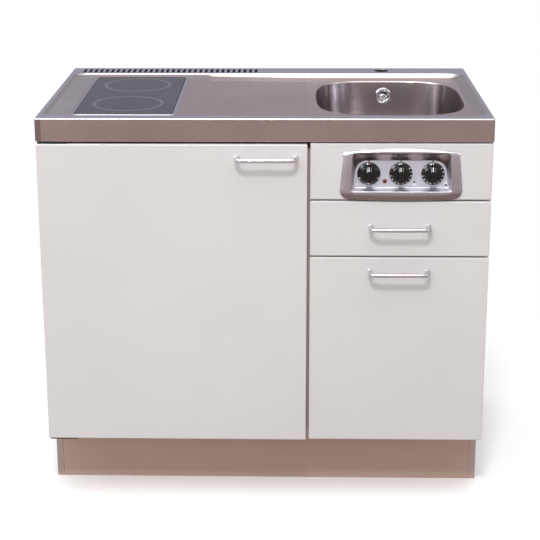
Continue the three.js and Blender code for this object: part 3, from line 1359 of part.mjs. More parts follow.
// The origin is on the floor, below the middle of the whole unit with its handles.
const REACH = DOOR_FACE - HANDLE_REACH;
root.position.y = -(REACH + BACK) / 2;

export default root;
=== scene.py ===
"""A free-standing kitchenette unit: a pressed steel worktop with a sink bowl, a drainer and a
ceramic hob, on a laminate cabinet with a refrigerator, a drawer and a waste pull-out.
Points are worked out in millimetres from the floor under the middle of the worktop, and each
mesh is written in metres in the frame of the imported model."""
import math

import bmesh
import bpy
import numpy as np
from mathutils import Matrix, Vector


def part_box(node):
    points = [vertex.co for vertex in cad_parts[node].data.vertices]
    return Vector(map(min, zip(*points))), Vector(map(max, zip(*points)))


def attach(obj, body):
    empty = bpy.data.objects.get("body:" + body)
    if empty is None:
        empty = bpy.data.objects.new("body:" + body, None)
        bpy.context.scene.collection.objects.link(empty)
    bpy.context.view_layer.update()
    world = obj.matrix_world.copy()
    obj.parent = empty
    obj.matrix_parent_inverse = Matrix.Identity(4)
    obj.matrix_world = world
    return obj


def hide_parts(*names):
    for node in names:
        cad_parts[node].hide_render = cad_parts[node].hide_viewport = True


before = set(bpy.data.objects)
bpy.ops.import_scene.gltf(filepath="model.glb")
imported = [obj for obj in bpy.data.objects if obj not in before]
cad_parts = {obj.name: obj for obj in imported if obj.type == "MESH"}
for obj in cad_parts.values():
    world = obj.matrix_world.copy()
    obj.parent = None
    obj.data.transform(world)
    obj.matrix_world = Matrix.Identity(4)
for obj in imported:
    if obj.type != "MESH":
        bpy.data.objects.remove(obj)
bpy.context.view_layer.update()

scene = bpy.context.scene


# ---- Camera ----
# It stands three metres in front of the unit and looks down a little over the worktop, with
# the small turn and tilt of the photograph.
def add_object(name, data):
    """A new object in the scene."""
    made = bpy.data.objects.new(name, data)
    scene.collection.objects.link(made)
    return made


def settle(thing, **settings):
    """Gives a thing its settings and hands it back."""
    for key, value in settings.items():
        setattr(thing, key, value)
    return thing


EYE = (0.0617, -3.2678, 1.5649)
YAW, PITCH, ROLL = -0.0279, -0.2694, -0.0045
camera = add_object("camera", bpy.data.cameras.new("camera"))
scene.camera = camera
settle(camera.data, sensor_width=36, lens=94.145, shift_x=0.0296, shift_y=-0.1481,
       clip_start=0.1, clip_end=50)
camera.matrix_world = (
    Matrix.Translation(EYE) @ Matrix.Rotation(-YAW, 4, "Z")
    @ Matrix.Rotation(math.pi / 2 + PITCH, 4, "X") @ Matrix.Rotation(ROLL, 4, "Z"))


# ---- Studio ----
# A pale floor, a broad soft light overhead, a weaker one and a key lamp in front, three windows
# that only shiny surfaces show, and a room that is dim at eye level, so that the steel has
# something quiet to mirror. The floor gives back warm light, which the camera doesn't see.
def linear(red, green, blue):
    """A colour seen on a screen, 0 to 255, as light: c over 255, less the toe, to the 2.4."""
    seen = np.array([red, green, blue]) / 255
    light = np.where(seen <= 0.04045, seen / 12.92, ((seen + 0.055) / 1.055) ** 2.4)
    return (*light.tolist(), 1)


def feed(node, inputs):
    """Fills a node's inputs, each with a plain value or from another node's socket."""
    for key, value in inputs.items():
        if isinstance(value, bpy.types.NodeSocket):
            node.id_data.links.new(value, node.inputs[key])
        else:
            node.inputs[key].default_value = value
    return node


def place(tree, kind, inputs=None, **settings):
    """One node of a tree with its settings and inputs."""
    return feed(settle(tree.nodes.new("ShaderNode" + kind), **settings), inputs or {})


def maths(tree, operation, *values):
    """The result of one Math node."""
    return place(tree, "Math", dict(enumerate(values)), operation=operation).outputs[0]


def carried(tree, value, start, end, low=0, high=1, **settings):
    """A value carried from one range to another and held at its ends."""
    return place(tree, "MapRange", {
        "Value": value, "From Min": start, "From Max": end, "To Min": low, "To Max": high},
        **settings).outputs["Result"]


def painted(tree, below, mask, colour, **settings):
    """Lays a colour over another where the mask is."""
    return place(tree, "Mix", {0: mask, 6: below, 7: colour}, data_type="RGBA",
                 **settings).outputs[2]


def object_point(tree):
    """The shaded point on the object's own axes, in metres."""
    return place(tree, "TexCoord").outputs["Object"]


def split(tree, vector):
    """The three parts of a vector."""
    return place(tree, "SeparateXYZ", {"Vector": vector}).outputs


def distance_to(tree, point, target):
    """How far a point is from a target."""
    return place(tree, "VectorMath", {0: point, 1: target}, operation="DISTANCE").outputs["Value"]


def ramp(tree, factor, *stops):
    """A colour ramp through stops, each a position and a colour."""
    made = place(tree, "ValToRGB", {"Fac": factor})
    elements = made.color_ramp.elements
    for position, *_ in stops[2:]:
        elements.new(position)
    for element, (position, *colour) in zip(elements, stops):
        element.position, element.color = position, (*colour[:3], 1)
    return made.outputs["Color"]


def new_material(name):
    """A material, its node tree and its shader."""
    finish = settle(bpy.data.materials.new(name), use_nodes=True)
    return finish, finish.node_tree, finish.node_tree.nodes["Principled BSDF"]


def full_turn(count):
    """Angles evenly round a full turn."""
    return np.linspace(0, 2 * np.pi, count + 1)[:-1]


def polar(radius, way, level=0):
    """Points round the vertical axis: the cosine and the sine of the angle times the radius."""
    return np.stack(np.broadcast_arrays(radius * np.cos(way), radius * np.sin(way), level), -1)


scene.view_settings.view_transform = "Standard"
for name, stand, aim, size, watts, colour in (
        ("overhead", (-0.2, -0.5, 3.1), (-0.2, -0.4, 0), (3.2, 3.4), 60, (1, 1, 0.995)),
        ("front_light", (-2.2, -3, 2.7), (0, 0, 0.7), (2, 1.6), 12, (1, 0.99, 0.985)),
        ("key_light", (-0.15, -3.1, 4), (0, -0.3, 0.7), (0.5, 0.35), 76, (1, 0.99, 0.98)),
        ("window", (-1.8, -1.97, 2.13), (0.3, -0.3, 0.775), (1.5, 1.1), 48, (0.93, 0.97, 1)),
        ("side_window_left", (-1.37, -0.75, 1.55), (0.3, 0.1, 0.85), (0.2, 0.9), 18,
         (0.66, 0.82, 1)),
        ("side_window_right", (1.95, -0.75, 1.55), (0.3, 0.1, 0.85), (0.2, 0.9), 4.5,
         (1, 0.95, 0.92))):
    lamp = add_object(name, bpy.data.lights.new(name, "AREA"))
    settle(lamp.data, shape="RECTANGLE", size=size[0], size_y=size[1], energy=watts, color=colour)
    settle(lamp, visible_camera=False, visible_diffuse="window" not in name)
    turned_to = (Vector(aim) - Vector(stand)).to_track_quat("-Z", "Y").to_matrix().to_4x4()
    lamp.matrix_world = Matrix.Translation(stand) @ turned_to

scene.world = settle(bpy.data.worlds.new("studio"), use_nodes=True)
sky = scene.world.node_tree
sky.nodes.clear()
way_x, way_y, way_z = split(sky, place(sky, "TexCoord").outputs["Generated"])
rise = carried(sky, way_z, -1, 1)
behind_unit = ramp(
    sky, rise, (0, 0.4, 0.31, 0.28), (0.47, 0.4, 0.32, 0.3), (0.51, 0.2, 0.16, 0.15),
    (0.55, 0.27, 0.22, 0.21), (0.585, 0.58, 0.58, 0.66), (0.615, 0.64, 0.62, 0.69),
    (0.66, 0.44, 0.4, 0.44), (0.8, 0.66, 0.66, 0.68), (0.93, 1.15, 1.14, 1.13))
before_unit = ramp(
    sky, rise, (0, 0.4, 0.31, 0.28), (0.36, 0.54, 0.43, 0.4), (0.45, 0.58, 0.47, 0.44),
    (0.49, 0.5, 0.44, 0.44), (0.55, 0.72, 0.72, 0.76), (0.66, 0.95, 0.96, 1),
    (0.8, 0.8, 0.8, 0.82), (0.93, 1.15, 1.14, 1.13))
aside = carried(sky, maths(sky, "ABSOLUTE", way_x), 0, 0.14)
bluer = painted(sky, behind_unit, aside, (0.985, 1.02, 1.09, 1), blend_type="MULTIPLY")
backward = carried(sky, way_y, -0.25, 0.25, interpolation_type="SMOOTHSTEP")
room_light = painted(sky, before_unit, backward, bluer)
room = place(sky, "Background", {"Color": room_light, "Strength": 0.8})
backdrop = place(sky, "Background", {"Color": (1, 1, 1, 1)})
seen_straight = place(sky, "LightPath").outputs["Is Camera Ray"]
choice = place(sky, "MixShader", {0: seen_straight, 1: room.outputs[0], 2: backdrop.outputs[0]})
place(sky, "OutputWorld", {"Surface": choice.outputs[0]})

FLOOR_RADIUS = 2.4
floor_mesh = bpy.data.meshes.new("floor")
rim = polar(FLOOR_RADIUS, full_turn(96))
floor_mesh.from_pydata(rim.tolist(), [], [list(range(len(rim)))])
pale_floor, tree, shader = new_material("pale_floor")
floor_mesh.materials.append(pale_floor)
seen_straight = place(tree, "LightPath").outputs["Is Camera Ray"]
feed(shader, {"Roughness": 0.85, "Base Color": painted(
    tree, (0.42, 0.355, 0.33, 1), seen_straight, (0.97, 0.965, 0.96, 1))})
from_unit = distance_to(tree, object_point(tree), (0, 0, 0))
faded = carried(tree, from_unit, 0.6, 1.5, interpolation_type="SMOOTHSTEP")
faded = maths(tree, "MULTIPLY", faded, seen_straight)
glow = place(tree, "Emission", {"Color": (1, 1, 1, 1)})
mixed = place(tree, "MixShader", {0: faded, 1: shader.outputs[0], 2: glow.outputs[0]})
feed(tree.nodes["Material Output"], {"Surface": mixed.outputs[0]})
add_object("floor", floor_mesh)


# ---- Worktop ----
# One sheet of brushed stainless steel, pressed into a tray with a raised collar for the hob
# glass and low drainer beads, punched with a tap hole and vents, and folded down all round.
METRE = 1000
MIDDLE_Y = METRE * sum(corner[1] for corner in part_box("worktop")) / 2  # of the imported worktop


def grid_faces(rows, columns, closed_rows=False, closed_columns=False):
    """Quads that join each point of a numbered grid to its next neighbours both ways."""
    i = np.arange(rows if closed_rows else rows - 1)[:, None]
    j = np.arange(columns if closed_columns else columns - 1)[None, :]
    below, beside = (i + 1) % rows, (j + 1) % columns
    corners = [i * columns + j, i * columns + beside, below * columns + beside,
               below * columns + j]
    return np.stack(np.broadcast_arrays(*corners), -1).reshape(-1, 4)


def skin(rings, closed_rows=False):
    """A shape, which is points and faces, over closed rings of equal numbers of points."""
    rings = np.array(rings)
    return rings, grid_faces(*rings.shape[:2], closed_rows, True)


def present(name, mesh, finish, body, node, crease):
    """A mesh with its finish as a piece on a body. Faces meeting past the crease angle keep a
    sharp edge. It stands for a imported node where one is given."""
    mesh.shade_smooth()
    mesh.set_sharp_from_angle(angle=math.radians(crease))
    mesh.materials.append(finish)
    piece = add_object(name, mesh)
    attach(piece, body)
    if node:
        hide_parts(node)
    return piece


CREASE = 35


def make_piece(name, shapes, finish, body, node, crease=CREASE, outward=True):
    """A piece from shapes in millimetres. Points that coincide are merged and collapsed faces
    go. Unless told that they are right, faces are turned to look outward."""
    points, faces, count = [], [], 0
    for shape_points, shape_faces in shapes:
        shape_points = np.asarray(shape_points, float).reshape(-1, 3)
        points.append(shape_points)
        faces.extend((np.asarray(face) + count).tolist() for face in shape_faces)
        count += len(shape_points)
    mesh = bpy.data.meshes.new(name)
    placed = (np.concatenate(points) + [0, MIDDLE_Y, 0]) / METRE
    mesh.from_pydata(placed.tolist(), [], faces)
    shell = bmesh.new()
    shell.from_mesh(mesh)
    bmesh.ops.remove_doubles(shell, verts=shell.verts, dist=1e-6)
    bmesh.ops.dissolve_degenerate(shell, edges=shell.edges, dist=1e-7)
    if outward:
        bmesh.ops.recalc_face_normals(shell, faces=shell.faces)
    shell.to_mesh(mesh)
    shell.free()
    return present(name, mesh, finish, body, node, crease)


def add_modifier(piece, kind, **settings):
    """A modifier on a finished piece with its settings."""
    settle(piece.modifiers.new(kind.lower(), kind), **settings)


def as_sheet(piece, thickness, **settings):
    """Gives a surface the thickness of its sheet and shades it by its larger faces."""
    add_modifier(piece, "SOLIDIFY", thickness=thickness, offset=-1, **settings)
    add_modifier(piece, "WEIGHTED_NORMAL", keep_sharp=True, weight=100)


def shared_effect(name, inputs, outputs):
    """An empty node group with sockets of given titles and kinds: its tree, its inputs and
    its output node."""
    tree = bpy.data.node_groups.new(name, "ShaderNodeTree")
    for side, sockets in (("INPUT", inputs), ("OUTPUT", outputs)):
        for title, kind in sockets.items():
            tree.interface.new_socket(title, in_out=side, socket_type="NodeSocket" + kind)
    return tree, tree.nodes.new("NodeGroupInput").outputs, tree.nodes.new("NodeGroupOutput")


# Cloudy: a tint that drifts over the surface in soft patches of a given size, as handling
# and cleaning leave on a large face.
cloudy, given, result = shared_effect(
    "cloudy", {"Colour": "Color", "Tint": "Color", "Patches per metre": "Float",
               "Amount": "Float"}, {"Colour": "Color"})
patch = place(cloudy, "TexNoise", {
    "Vector": object_point(cloudy), "Scale": given["Patches per metre"], "Detail": 3,
    "Roughness": 0.55}).outputs["Fac"]
share = maths(cloudy, "MULTIPLY", carried(cloudy, patch, 0.32, 0.68), given["Amount"])
feed(result, {"Colour": painted(cloudy, given["Colour"], share, given["Tint"])})

# Grain: fine noise, drawn out along one axis or even, as a height and as a roughness.
grain, given, result = shared_effect(
    "grain", {"Stretch": "Vector", "Grains per metre": "Float", "Rough from": "Float",
              "Rough to": "Float"}, {"Height": "Float", "Roughness": "Float"})
drawn = place(grain, "VectorMath", {0: object_point(grain), 1: given["Stretch"]},
              operation="MULTIPLY").outputs[0]
speck = place(grain, "TexNoise", {
    "Vector": drawn, "Scale": given["Grains per metre"], "Detail": 2}).outputs["Fac"]
feed(result, {"Height": speck, "Roughness": carried(
    grain, speck, 0.3, 0.7, given["Rough from"], given["Rough to"])})


def drifting(tree, colour, tint, patches, amount):
    """The cloudy effect between two screen colours."""
    return place(tree, "Group", {
        "Colour": linear(*colour), "Tint": linear(*tint), "Patches per metre": patches,
        "Amount": amount}, node_tree=cloudy).outputs["Colour"]


def new_finish(name, colour, tint, roughness, patches=4, amount=0.5, grains=900, bump=0.05,
               metallic=0, stretch=(1, 1, 1), paint=None, sockets=None):
    """A material whose colour drifts between two screen colours and whose roughness and
    relief follow a fine grain. Paint, if given, turns the drifting colour into the last one."""
    finish, tree, shader = new_material(name)
    tone = drifting(tree, colour, tint, patches, amount)
    fine = place(tree, "Group", {
        "Stretch": stretch, "Grains per metre": grains, "Rough from": roughness[0],
        "Rough to": roughness[1]}, node_tree=grain)
    relief = place(tree, "Bump", {
        "Height": fine.outputs["Height"], "Strength": bump, "Distance": 0.0002})
    feed(shader, {
        "Base Color": paint(tree, tone) if paint else tone, "Metallic": metallic,
        "Roughness": fine.outputs["Roughness"], "Normal": relief.outputs["Normal"],
        **(sockets or {})})
    return finish


def steel_painted_light(tree, tone):
    """Painted light on the steel: the folded apron is drawn warmer than the top, a painted
    reflection of the warm floor; a darker strip at its left end is painted shade; and the side
    walls of the tray are drawn duller, which is painted shade."""
    apron_top, shade_strip_end, tray_end, tray_foot = 0.897, -0.4865, 0.45, 0.88  # in metres
    spot = split(tree, object_point(tree))
    facing = split(tree, place(tree, "NewGeometry").outputs["True Normal"])
    on_apron = maths(tree, "LESS_THAN", spot["Z"], apron_top)
    # Painted reflection: the apron drawn warmer, as if it mirrored the warm floor.
    tone = painted(
        tree, tone, on_apron, drifting(tree, (206, 193, 190), (186, 169, 165), 2.4, 0.9))
    # Painted shade: a darker strip at the left end of the apron.
    at_end = maths(tree, "LESS_THAN", spot["X"], shade_strip_end)
    painted_end_shade = maths(tree, "MULTIPLY", maths(tree, "MULTIPLY", at_end, on_apron), 0.75)
    tone = painted(tree, tone, painted_end_shade, linear(150, 134, 131))
    # Painted shade: the side walls of the tray drawn duller.
    wall = maths(tree, "GREATER_THAN", maths(tree, "ABSOLUTE", facing["X"]), 0.2)
    for value, least in ((facing["Z"], 0.5), (maths(tree, "ABSOLUTE", spot["X"]), tray_end),
                         (spot["Z"], tray_foot)):
        wall = maths(tree, "MULTIPLY", wall, maths(tree, "GREATER_THAN", value, least))
    return painted(tree, tone, wall, linear(184, 174, 172))


steel = new_finish(
    "brushed_steel", (208, 206, 214), (191, 186, 194), (0.255, 0.268), metallic=1,
    patches=2.4, amount=0.9, grains=520, stretch=(0.02, 3, 3), bump=0.004, paint=steel_painted_light)


def from_rectangle(x, y, left, right, front, back, radius):
    """Signed distance to a rounded rectangle, negative inside: the distance outside a
    rectangle shrunk by the radius, less the radius."""
    across = np.abs(x - (left + right) / 2) - (right - left) / 2 + radius
    along = np.abs(y - (front + back) / 2) - (back - front) / 2 + radius
    outside = np.hypot(np.maximum(across, 0), np.maximum(along, 0))
    return outside + np.minimum(np.maximum(across, along), 0) - radius


def soft_less(a, b, width):
    """The lesser of two values, rounded off where they cross within the given width."""
    blend = np.maximum(width - np.abs(a - b), 0) / width
    return np.minimum(a, b) - blend * blend * width / 4


TOP, HALF_X, HALF_Y = 900, 500, 300
TRAY = (-489, 489, -265, 232, 28)
TRAY_DEPTH, TRAY_RUN, TRAY_SIDE_RUN, TRAY_BLEND, COLLAR_BLEND = 10.5, 15, 22, 1, 0.8
LIP_RISE, LIP_START, LIP_RUN = 0.5, 6, 6
GLASS = (-421, -203, -250, 176, 6)
POCKET_DEPTH, COLLAR_FLAT, COLLAR_RADIUS, COLLAR_FALL = 3.7, 3, 12, 0.46
SLOPE = (-139, 101)  # the drainer from its left end to its right
SLOPE_DEPTHS = ([-151, *SLOPE], [4, 7.6, TRAY_DEPTH])
BOWL_X, BOWL_Y, BOWL_A, BOWL_B, SQUARENESS, BOWL_LIP = 288, -15, 170, 196, 3.5, 2.2
TAP_Y, TAP_RADIUS, TAP_LIP = 267, 17.5, 0.8
BEADS = 160 - 38 * np.arange(11)
BEAD_HALF, BEAD_RISE, BEAD_END = 13, 1.5, 12
VENT_PITCH, VENT_HALF, VENT_STRAIGHT = 14.07, 3.3, 20.2
VENTS = -467 + VENT_PITCH * np.arange(32)


def bowl_reach(x, y):
    """How far out a point lies in the bowl's superellipse, which is 1 on its rim: the root of
    the sum of both shares of its half axes, each raised to the squareness."""
    across = np.abs((x - BOWL_X) / BOWL_A) ** SQUARENESS
    along = np.abs((y - BOWL_Y) / BOWL_B) ** SQUARENESS
    return (across + along) ** (1 / SQUARENESS)


def top_height(x, y):
    """Height of the steel. The tray wall falls with its slope to a floor that deepens from
    the hob to the bowl, and its sides run wider because x is squeezed; the collar rises again
    round the glass; each bead adds a low cosine ridge; the sheet rolls down over a quarter
    circle at the bowl and at the tap hole, and falls smoothly inside the outer lip."""
    depth = np.interp(x, *SLOPE_DEPTHS)
    left, right, front, back, radius = TRAY
    squeeze = TRAY_RUN / TRAY_SIDE_RUN
    inside = -from_rectangle(x * squeeze, y, left * squeeze, right * squeeze, front, back, radius)
    tray = -soft_less(depth, np.maximum(inside * TRAY_DEPTH / TRAY_RUN, 0), TRAY_BLEND)
    from_glass = from_rectangle(x, y, *GLASS[:4], COLLAR_RADIUS)
    collar = -np.maximum(from_glass - COLLAR_FLAT, 0) * COLLAR_FALL
    level = -soft_less(-tray, -collar, COLLAR_BLEND)
    across = np.abs(y[..., None] - BEADS).min(-1) / BEAD_HALF
    along = np.clip(np.minimum(x - SLOPE[0], SLOPE[1] - x) / BEAD_END, 0, 1)
    ridge = 0.5 + 0.5 * np.cos(np.pi * np.clip(across, 0, 1))
    level = level + BEAD_RISE * ridge * np.sin(along * np.pi / 2)
    level = np.where(from_rectangle(x, y, *GLASS) < 0.5, -POCKET_DEPTH, level)
    out = np.hypot(x - BOWL_X, y - BOWL_Y)
    from_bowl = out * (1 - 1 / np.maximum(bowl_reach(x, y), 0.5))
    from_tap = np.hypot(x - BOWL_X, y - TAP_Y) - TAP_RADIUS
    for distance, lip in ((from_bowl, BOWL_LIP), (from_tap, TAP_LIP)):
        inward = np.clip(lip - distance, 0, lip)
        level = level - (lip - np.sqrt(lip * lip - inward * inward))
    from_edge = np.minimum(HALF_X - np.abs(x), HALF_Y - np.abs(y))
    past_lip = np.clip((from_edge - LIP_START) / LIP_RUN, 0, 1)
    level = level - LIP_RISE * past_lip * past_lip * (3 - 2 * past_lip)
    return TOP + level


def lines(*marks):
    """Grid lines through marks, each a (start, spacing to the next mark) pair."""
    runs = []
    for (start, spacing), (stop, _) in zip(marks, marks[1:]):
        count = max(1, round((stop - start) / spacing))
        runs.append(np.linspace(start, stop, count + 1)[:-1])
    return np.append(np.concatenate(runs), marks[-1][0])


def thinned(fixed, free):
    """Grid lines in order: all the fixed ones, and each free one at least half a millimetre
    from them and a fifth of a millimetre from its neighbour."""
    fixed, free = (np.unique(np.round(np.concatenate(marks), 4)) for marks in (fixed, free))
    free = free[np.abs(free[:, None] - fixed).min(1) > 0.5]
    free = free[np.append(True, np.diff(free) > 0.2)]
    return np.sort(np.concatenate([fixed, free]))


FOLD_START = 6
BOWL_PATCH = (110, 466, BOWL_Y - 204, BOWL_Y + 204)
tap_x, tap_y = BOWL_X + np.linspace(-24, 24, 13), TAP_Y + np.linspace(-21, 21, 11)
TAP_PATCH = (tap_x[0], tap_x[-1], tap_y[0], tap_y[-1])
VENT_ROW = (237, 289)
HOB_HOLE = (-412, -212, -241, 167)
round_glass = np.array([0.45, 0.9, 2, 3.5, 5.5, 8, 10.5, 12.5, 15])
in_corner = np.array([0, 1.5, 4])
x_lines = thinned(
    [HOB_HOLE[:2], TAP_PATCH[:2], VENTS[0] + VENT_PITCH / 3 * (np.arange(97) - 1.5),
     lines((BOWL_PATCH[0], 7), (BOWL_PATCH[1], 1)), [FOLD_START - HALF_X, HALF_X - FOLD_START]],
    [lines((-494, 2.2), (-464, 30), (-412, 20), (-212, 30), (-151, 2), (-139, 3), (-124, 12),
           (90, 2.75), (101, 3), (110, 4)), lines((466, 2.2), (494, 1)),
     tap_x, GLASS[0] - round_glass, GLASS[1] + round_glass, GLASS[0] + in_corner,
     GLASS[1] - in_corner])
y_lines = thinned(
    [HOB_HOLE[2:], TAP_PATCH[2:], VENT_ROW, BOWL_PATCH[2:],
     [FOLD_START - HALF_Y, HALF_Y - FOLD_START]],
    [lines((-294, 1.5), (-285, 4), (-266, 2.1), (-247, 25), (173, 5.4), (189, 12), (213, 2),
           (234, 1.5), (237, 10), (289, 1.7), (294, 1)), tap_y,
     (BEADS[:, None] + BEAD_HALF * np.array([-3, -2, -1, 0, 1, 2, 3, 4.4]) / 3).ravel(),
     GLASS[2] - round_glass, GLASS[3] + round_glass, GLASS[2] + in_corner,
     GLASS[3] - in_corner])


def ring_patch(centre, outline, rectangle, reach, cells):
    """Fills a rectangle round a hole: rays from the hole's middle through the rectangle's
    grid points meet the outline, and points lie along each ray from outline to rectangle."""
    left, right, front, back = rectangle
    xs = x_lines[(x_lines >= left - 1e-6) & (x_lines <= right + 1e-6)]
    ys = y_lines[(y_lines >= front - 1e-6) & (y_lines <= back + 1e-6)]
    edge = np.concatenate([
        np.column_stack([xs[:-1], 0 * xs[:-1] + front]),
        np.column_stack([0 * ys[:-1] + right, ys[:-1]]),
        np.column_stack([xs[:0:-1], 0 * xs[:0:-1] + back]),
        np.column_stack([0 * ys[:0:-1] + left, ys[:0:-1]])])
    hole = outline(edge - centre) + centre
    near = np.array(reach)[:, None] / np.hypot(*(edge - hole).T)
    far = near[-1] + (1 - near[-1]) * np.linspace(0, 1, cells + 1)[1:, None]
    x, y = np.moveaxis(hole + (edge - hole) * np.concatenate([near, far])[..., None], -1, 0)
    points, faces = skin(np.stack([x, y, top_height(x, y)], -1))
    return points, faces[:, ::-1]


def away_from(holes):
    """The grid's quads whose middle lies in none of the rectangles."""
    quads = grid_faces(len(y_lines), len(x_lines))
    middle_x = np.tile((x_lines[1:] + x_lines[:-1]) / 2, len(y_lines) - 1)
    middle_y = np.repeat((y_lines[1:] + y_lines[:-1]) / 2, len(x_lines) - 1)
    keep = np.ones(len(quads), bool)
    for left, right, front, back in holes:
        keep &= ~((middle_x > left) & (middle_x < right) & (middle_y > front) & (middle_y < back))
    return quads[keep]


def bowl_outline(ray):
    """Where a ray meets the bowl's rim: the ray over how far out its end lies."""
    return ray / bowl_reach(ray[:, 0] + BOWL_X, ray[:, 1] + BOWL_Y)[:, None]


def circle_outline(ray):
    """Where a ray meets the tap hole."""
    return ray * TAP_RADIUS / np.hypot(*ray.T)[:, None]


def vent_outline(ray):
    """Where a ray meets a slot with round ends: its side, or the circle round the middle of
    its end, where the distance across solves a quadratic in the ray's slope."""
    x, y = np.abs(ray[:, 0]) + 1e-9, np.abs(ray[:, 1])
    slope = y / x
    square, turn = 1 + slope * slope, slope * VENT_STRAIGHT
    under_root = turn * turn - square * (VENT_STRAIGHT**2 - VENT_HALF**2)
    end_x = (turn + np.sqrt(np.maximum(under_root, 0))) / square
    met_x = np.where(VENT_HALF * slope <= VENT_STRAIGHT, VENT_HALF, end_x)
    return np.sign(ray) * np.column_stack([met_x, met_x * slope])


mesh_x, mesh_y = np.meshgrid(x_lines, y_lines)
flat_top = np.stack([mesh_x, mesh_y, top_height(mesh_x, mesh_y)], -1)
vent_patches = [(x - VENT_PITCH / 2, x + VENT_PITCH / 2, *VENT_ROW) for x in VENTS]
sheet = [
    (flat_top, away_from([BOWL_PATCH, TAP_PATCH, HOB_HOLE, *vent_patches])),
    ring_patch((BOWL_X, BOWL_Y), bowl_outline, BOWL_PATCH,
               [0, 0.1, 0.4, 0.9, 1.6, 2.4, 3.2, 4.2], 4),
    ring_patch((BOWL_X, TAP_Y), circle_outline, TAP_PATCH, [0, 0.2, 0.5, 1], 2)]
sheet += [ring_patch((x, sum(VENT_ROW) / 2), vent_outline, rectangle, [0], 1)
          for x, rectangle in zip(VENTS, vent_patches)]

# Fold: the sheet turns down over a bend, falls as the apron and turns in at its foot.
CORNER, FOLD_BEND, APRON_FOOT = 4, 3, 848
bend = np.radians([20, 45, 70, 90])
inset, level = np.array([
    [FOLD_START, TOP], [FOLD_BEND, TOP], *np.column_stack([
        FOLD_BEND - FOLD_BEND * np.sin(bend), TOP - FOLD_BEND + FOLD_BEND * np.cos(bend)]),
    [0, 893], [0, 871], [0, APRON_FOOT + 1.5], [0.45, APRON_FOOT + 0.45], [1.5, APRON_FOOT],
    [9, APRON_FOOT], [20, APRON_FOOT]]).T
quarter = np.linspace(0, np.pi / 2, 7)


def folded_side(free, sign, horizontal):
    """One side of the fold: its points keep their place along the side, held inside the
    inset outline, and step in by the inset."""
    half = (HALF_X, HALF_Y) if horizontal else (HALF_Y, HALF_X)
    along = np.clip(free[:, None], inset - half[0], half[0] - inset)
    across = np.broadcast_to(sign * (half[1] - inset), along.shape)
    pair = (along, across) if horizontal else (across, along)
    return np.stack([*pair, np.broadcast_to(level, along.shape)], -1)


def folded_corner(sign_x, sign_y, angles):
    """One corner: arcs of the corner radius less the inset round the corner's middle."""
    reach, centre = np.maximum(CORNER - inset, 0), np.maximum(inset, CORNER)
    x = sign_x * (HALF_X - centre) + reach * np.cos(angles)[:, None]
    y = sign_y * (HALF_Y - centre) + reach * np.sin(angles)[:, None]
    return np.stack([x, y, np.broadcast_to(level, x.shape)], -1)


around_top = np.concatenate([
    folded_side(x_lines, -1, True), folded_corner(1, -1, quarter - np.pi / 2),
    folded_side(y_lines, 1, False), folded_corner(1, 1, quarter),
    folded_side(x_lines[::-1], 1, True), folded_corner(-1, 1, quarter + np.pi / 2),
    folded_side(y_lines[::-1], -1, False), folded_corner(-1, -1, quarter + np.pi)])
sheet.append((around_top, grid_faces(*around_top.shape[:2], closed_rows=True)))
worktop = make_piece("worktop_sheet", sheet, steel, "unit", "worktop", 50, False)
# A punched edge is rough and dull; its dark brown is painted shade, so that the slots and the gap
# under the apron read dark.
worktop.data.materials.append(new_finish(
    "punched_edge_painted_dark", (96, 84, 80), (78, 68, 65), (0.5, 0.6), metallic=0.6, patches=40,
    grains=2500, bump=0.1))
as_sheet(worktop, 0.0012, material_offset_rim=1)


# ---- Sink bowl ----
# Deep-drawn from the same steel and welded under the worktop, with a seamless polished lip,
# walls that lean in a little, a wide floor radius and a recess for the strainer waste.
drawn_steel = new_finish(
    "drawn_steel", (189, 180, 180), (178, 169, 170), (0.17, 0.21), metallic=1, patches=6,
    amount=0.6, bump=0.003)
BOWL_RIM = TOP - TRAY_DEPTH - LIP_RISE - BOWL_LIP
WALL_LEAN, FLOOR_BEND, BEND_LEVEL, WASTE_RADIUS = 8, 45, 782, 54
turning = np.radians(np.linspace(0, 90, 13))
wall_share = np.concatenate([[0, 0.008, 0.03], np.linspace(0.08, 1, 9)[:-1]])
bowl_inset = np.concatenate([
    WALL_LEAN * wall_share, WALL_LEAN + FLOOR_BEND * (1 - np.cos(turning))])
bowl_level = np.concatenate([
    BOWL_RIM - (BOWL_RIM - BEND_LEVEL) * wall_share, BEND_LEVEL - FLOOR_BEND * np.sin(turning)])
angle = full_turn(144)


def superellipse_ring(half_a, half_b, squareness, level):
    """Points round a superellipse: the cosine and sine of the angle, each raised to two over
    the squareness with its sign kept, times the half axes."""
    bend_x, bend_y = (np.sign(way) * np.abs(way) ** (2 / squareness)
                      for way in (np.cos(angle), np.sin(angle)))
    return np.column_stack([BOWL_X + half_a * bend_x, BOWL_Y + half_b * bend_y,
                            0 * angle + level])


bowl_rings = [superellipse_ring(BOWL_A - d, BOWL_B - d, SQUARENESS, z)
              for d, z in zip(bowl_inset, bowl_level)]
to_waste = [(half - WALL_LEAN - FLOOR_BEND, WASTE_RADIUS) for half in (BOWL_A, BOWL_B)]
for share in (0.25, 0.5, 0.75, 0.93, 1):
    outline = [np.interp(share, [0, 1], ends) for ends in (*to_waste, (SQUARENESS, 2))]
    bowl_rings.append(superellipse_ring(*outline, BEND_LEVEL - FLOOR_BEND - 0.4 * share))
bowl = make_piece("bowl_drawn", [skin(bowl_rings)], drawn_steel, "unit", "sink_bowl",
                  50, False)
as_sheet(bowl, 0.001)


# ---- Overflow rosette ----
# A turned and chromed brass cover with water slots between six spokes, held by one screw
# through the back wall of the bowl to the overflow hose.
chrome = new_finish(
    "polished_chrome", (205, 205, 210), (190, 190, 198), (0.06, 0.13), metallic=1, patches=40,
    grains=2500, bump=0.02)
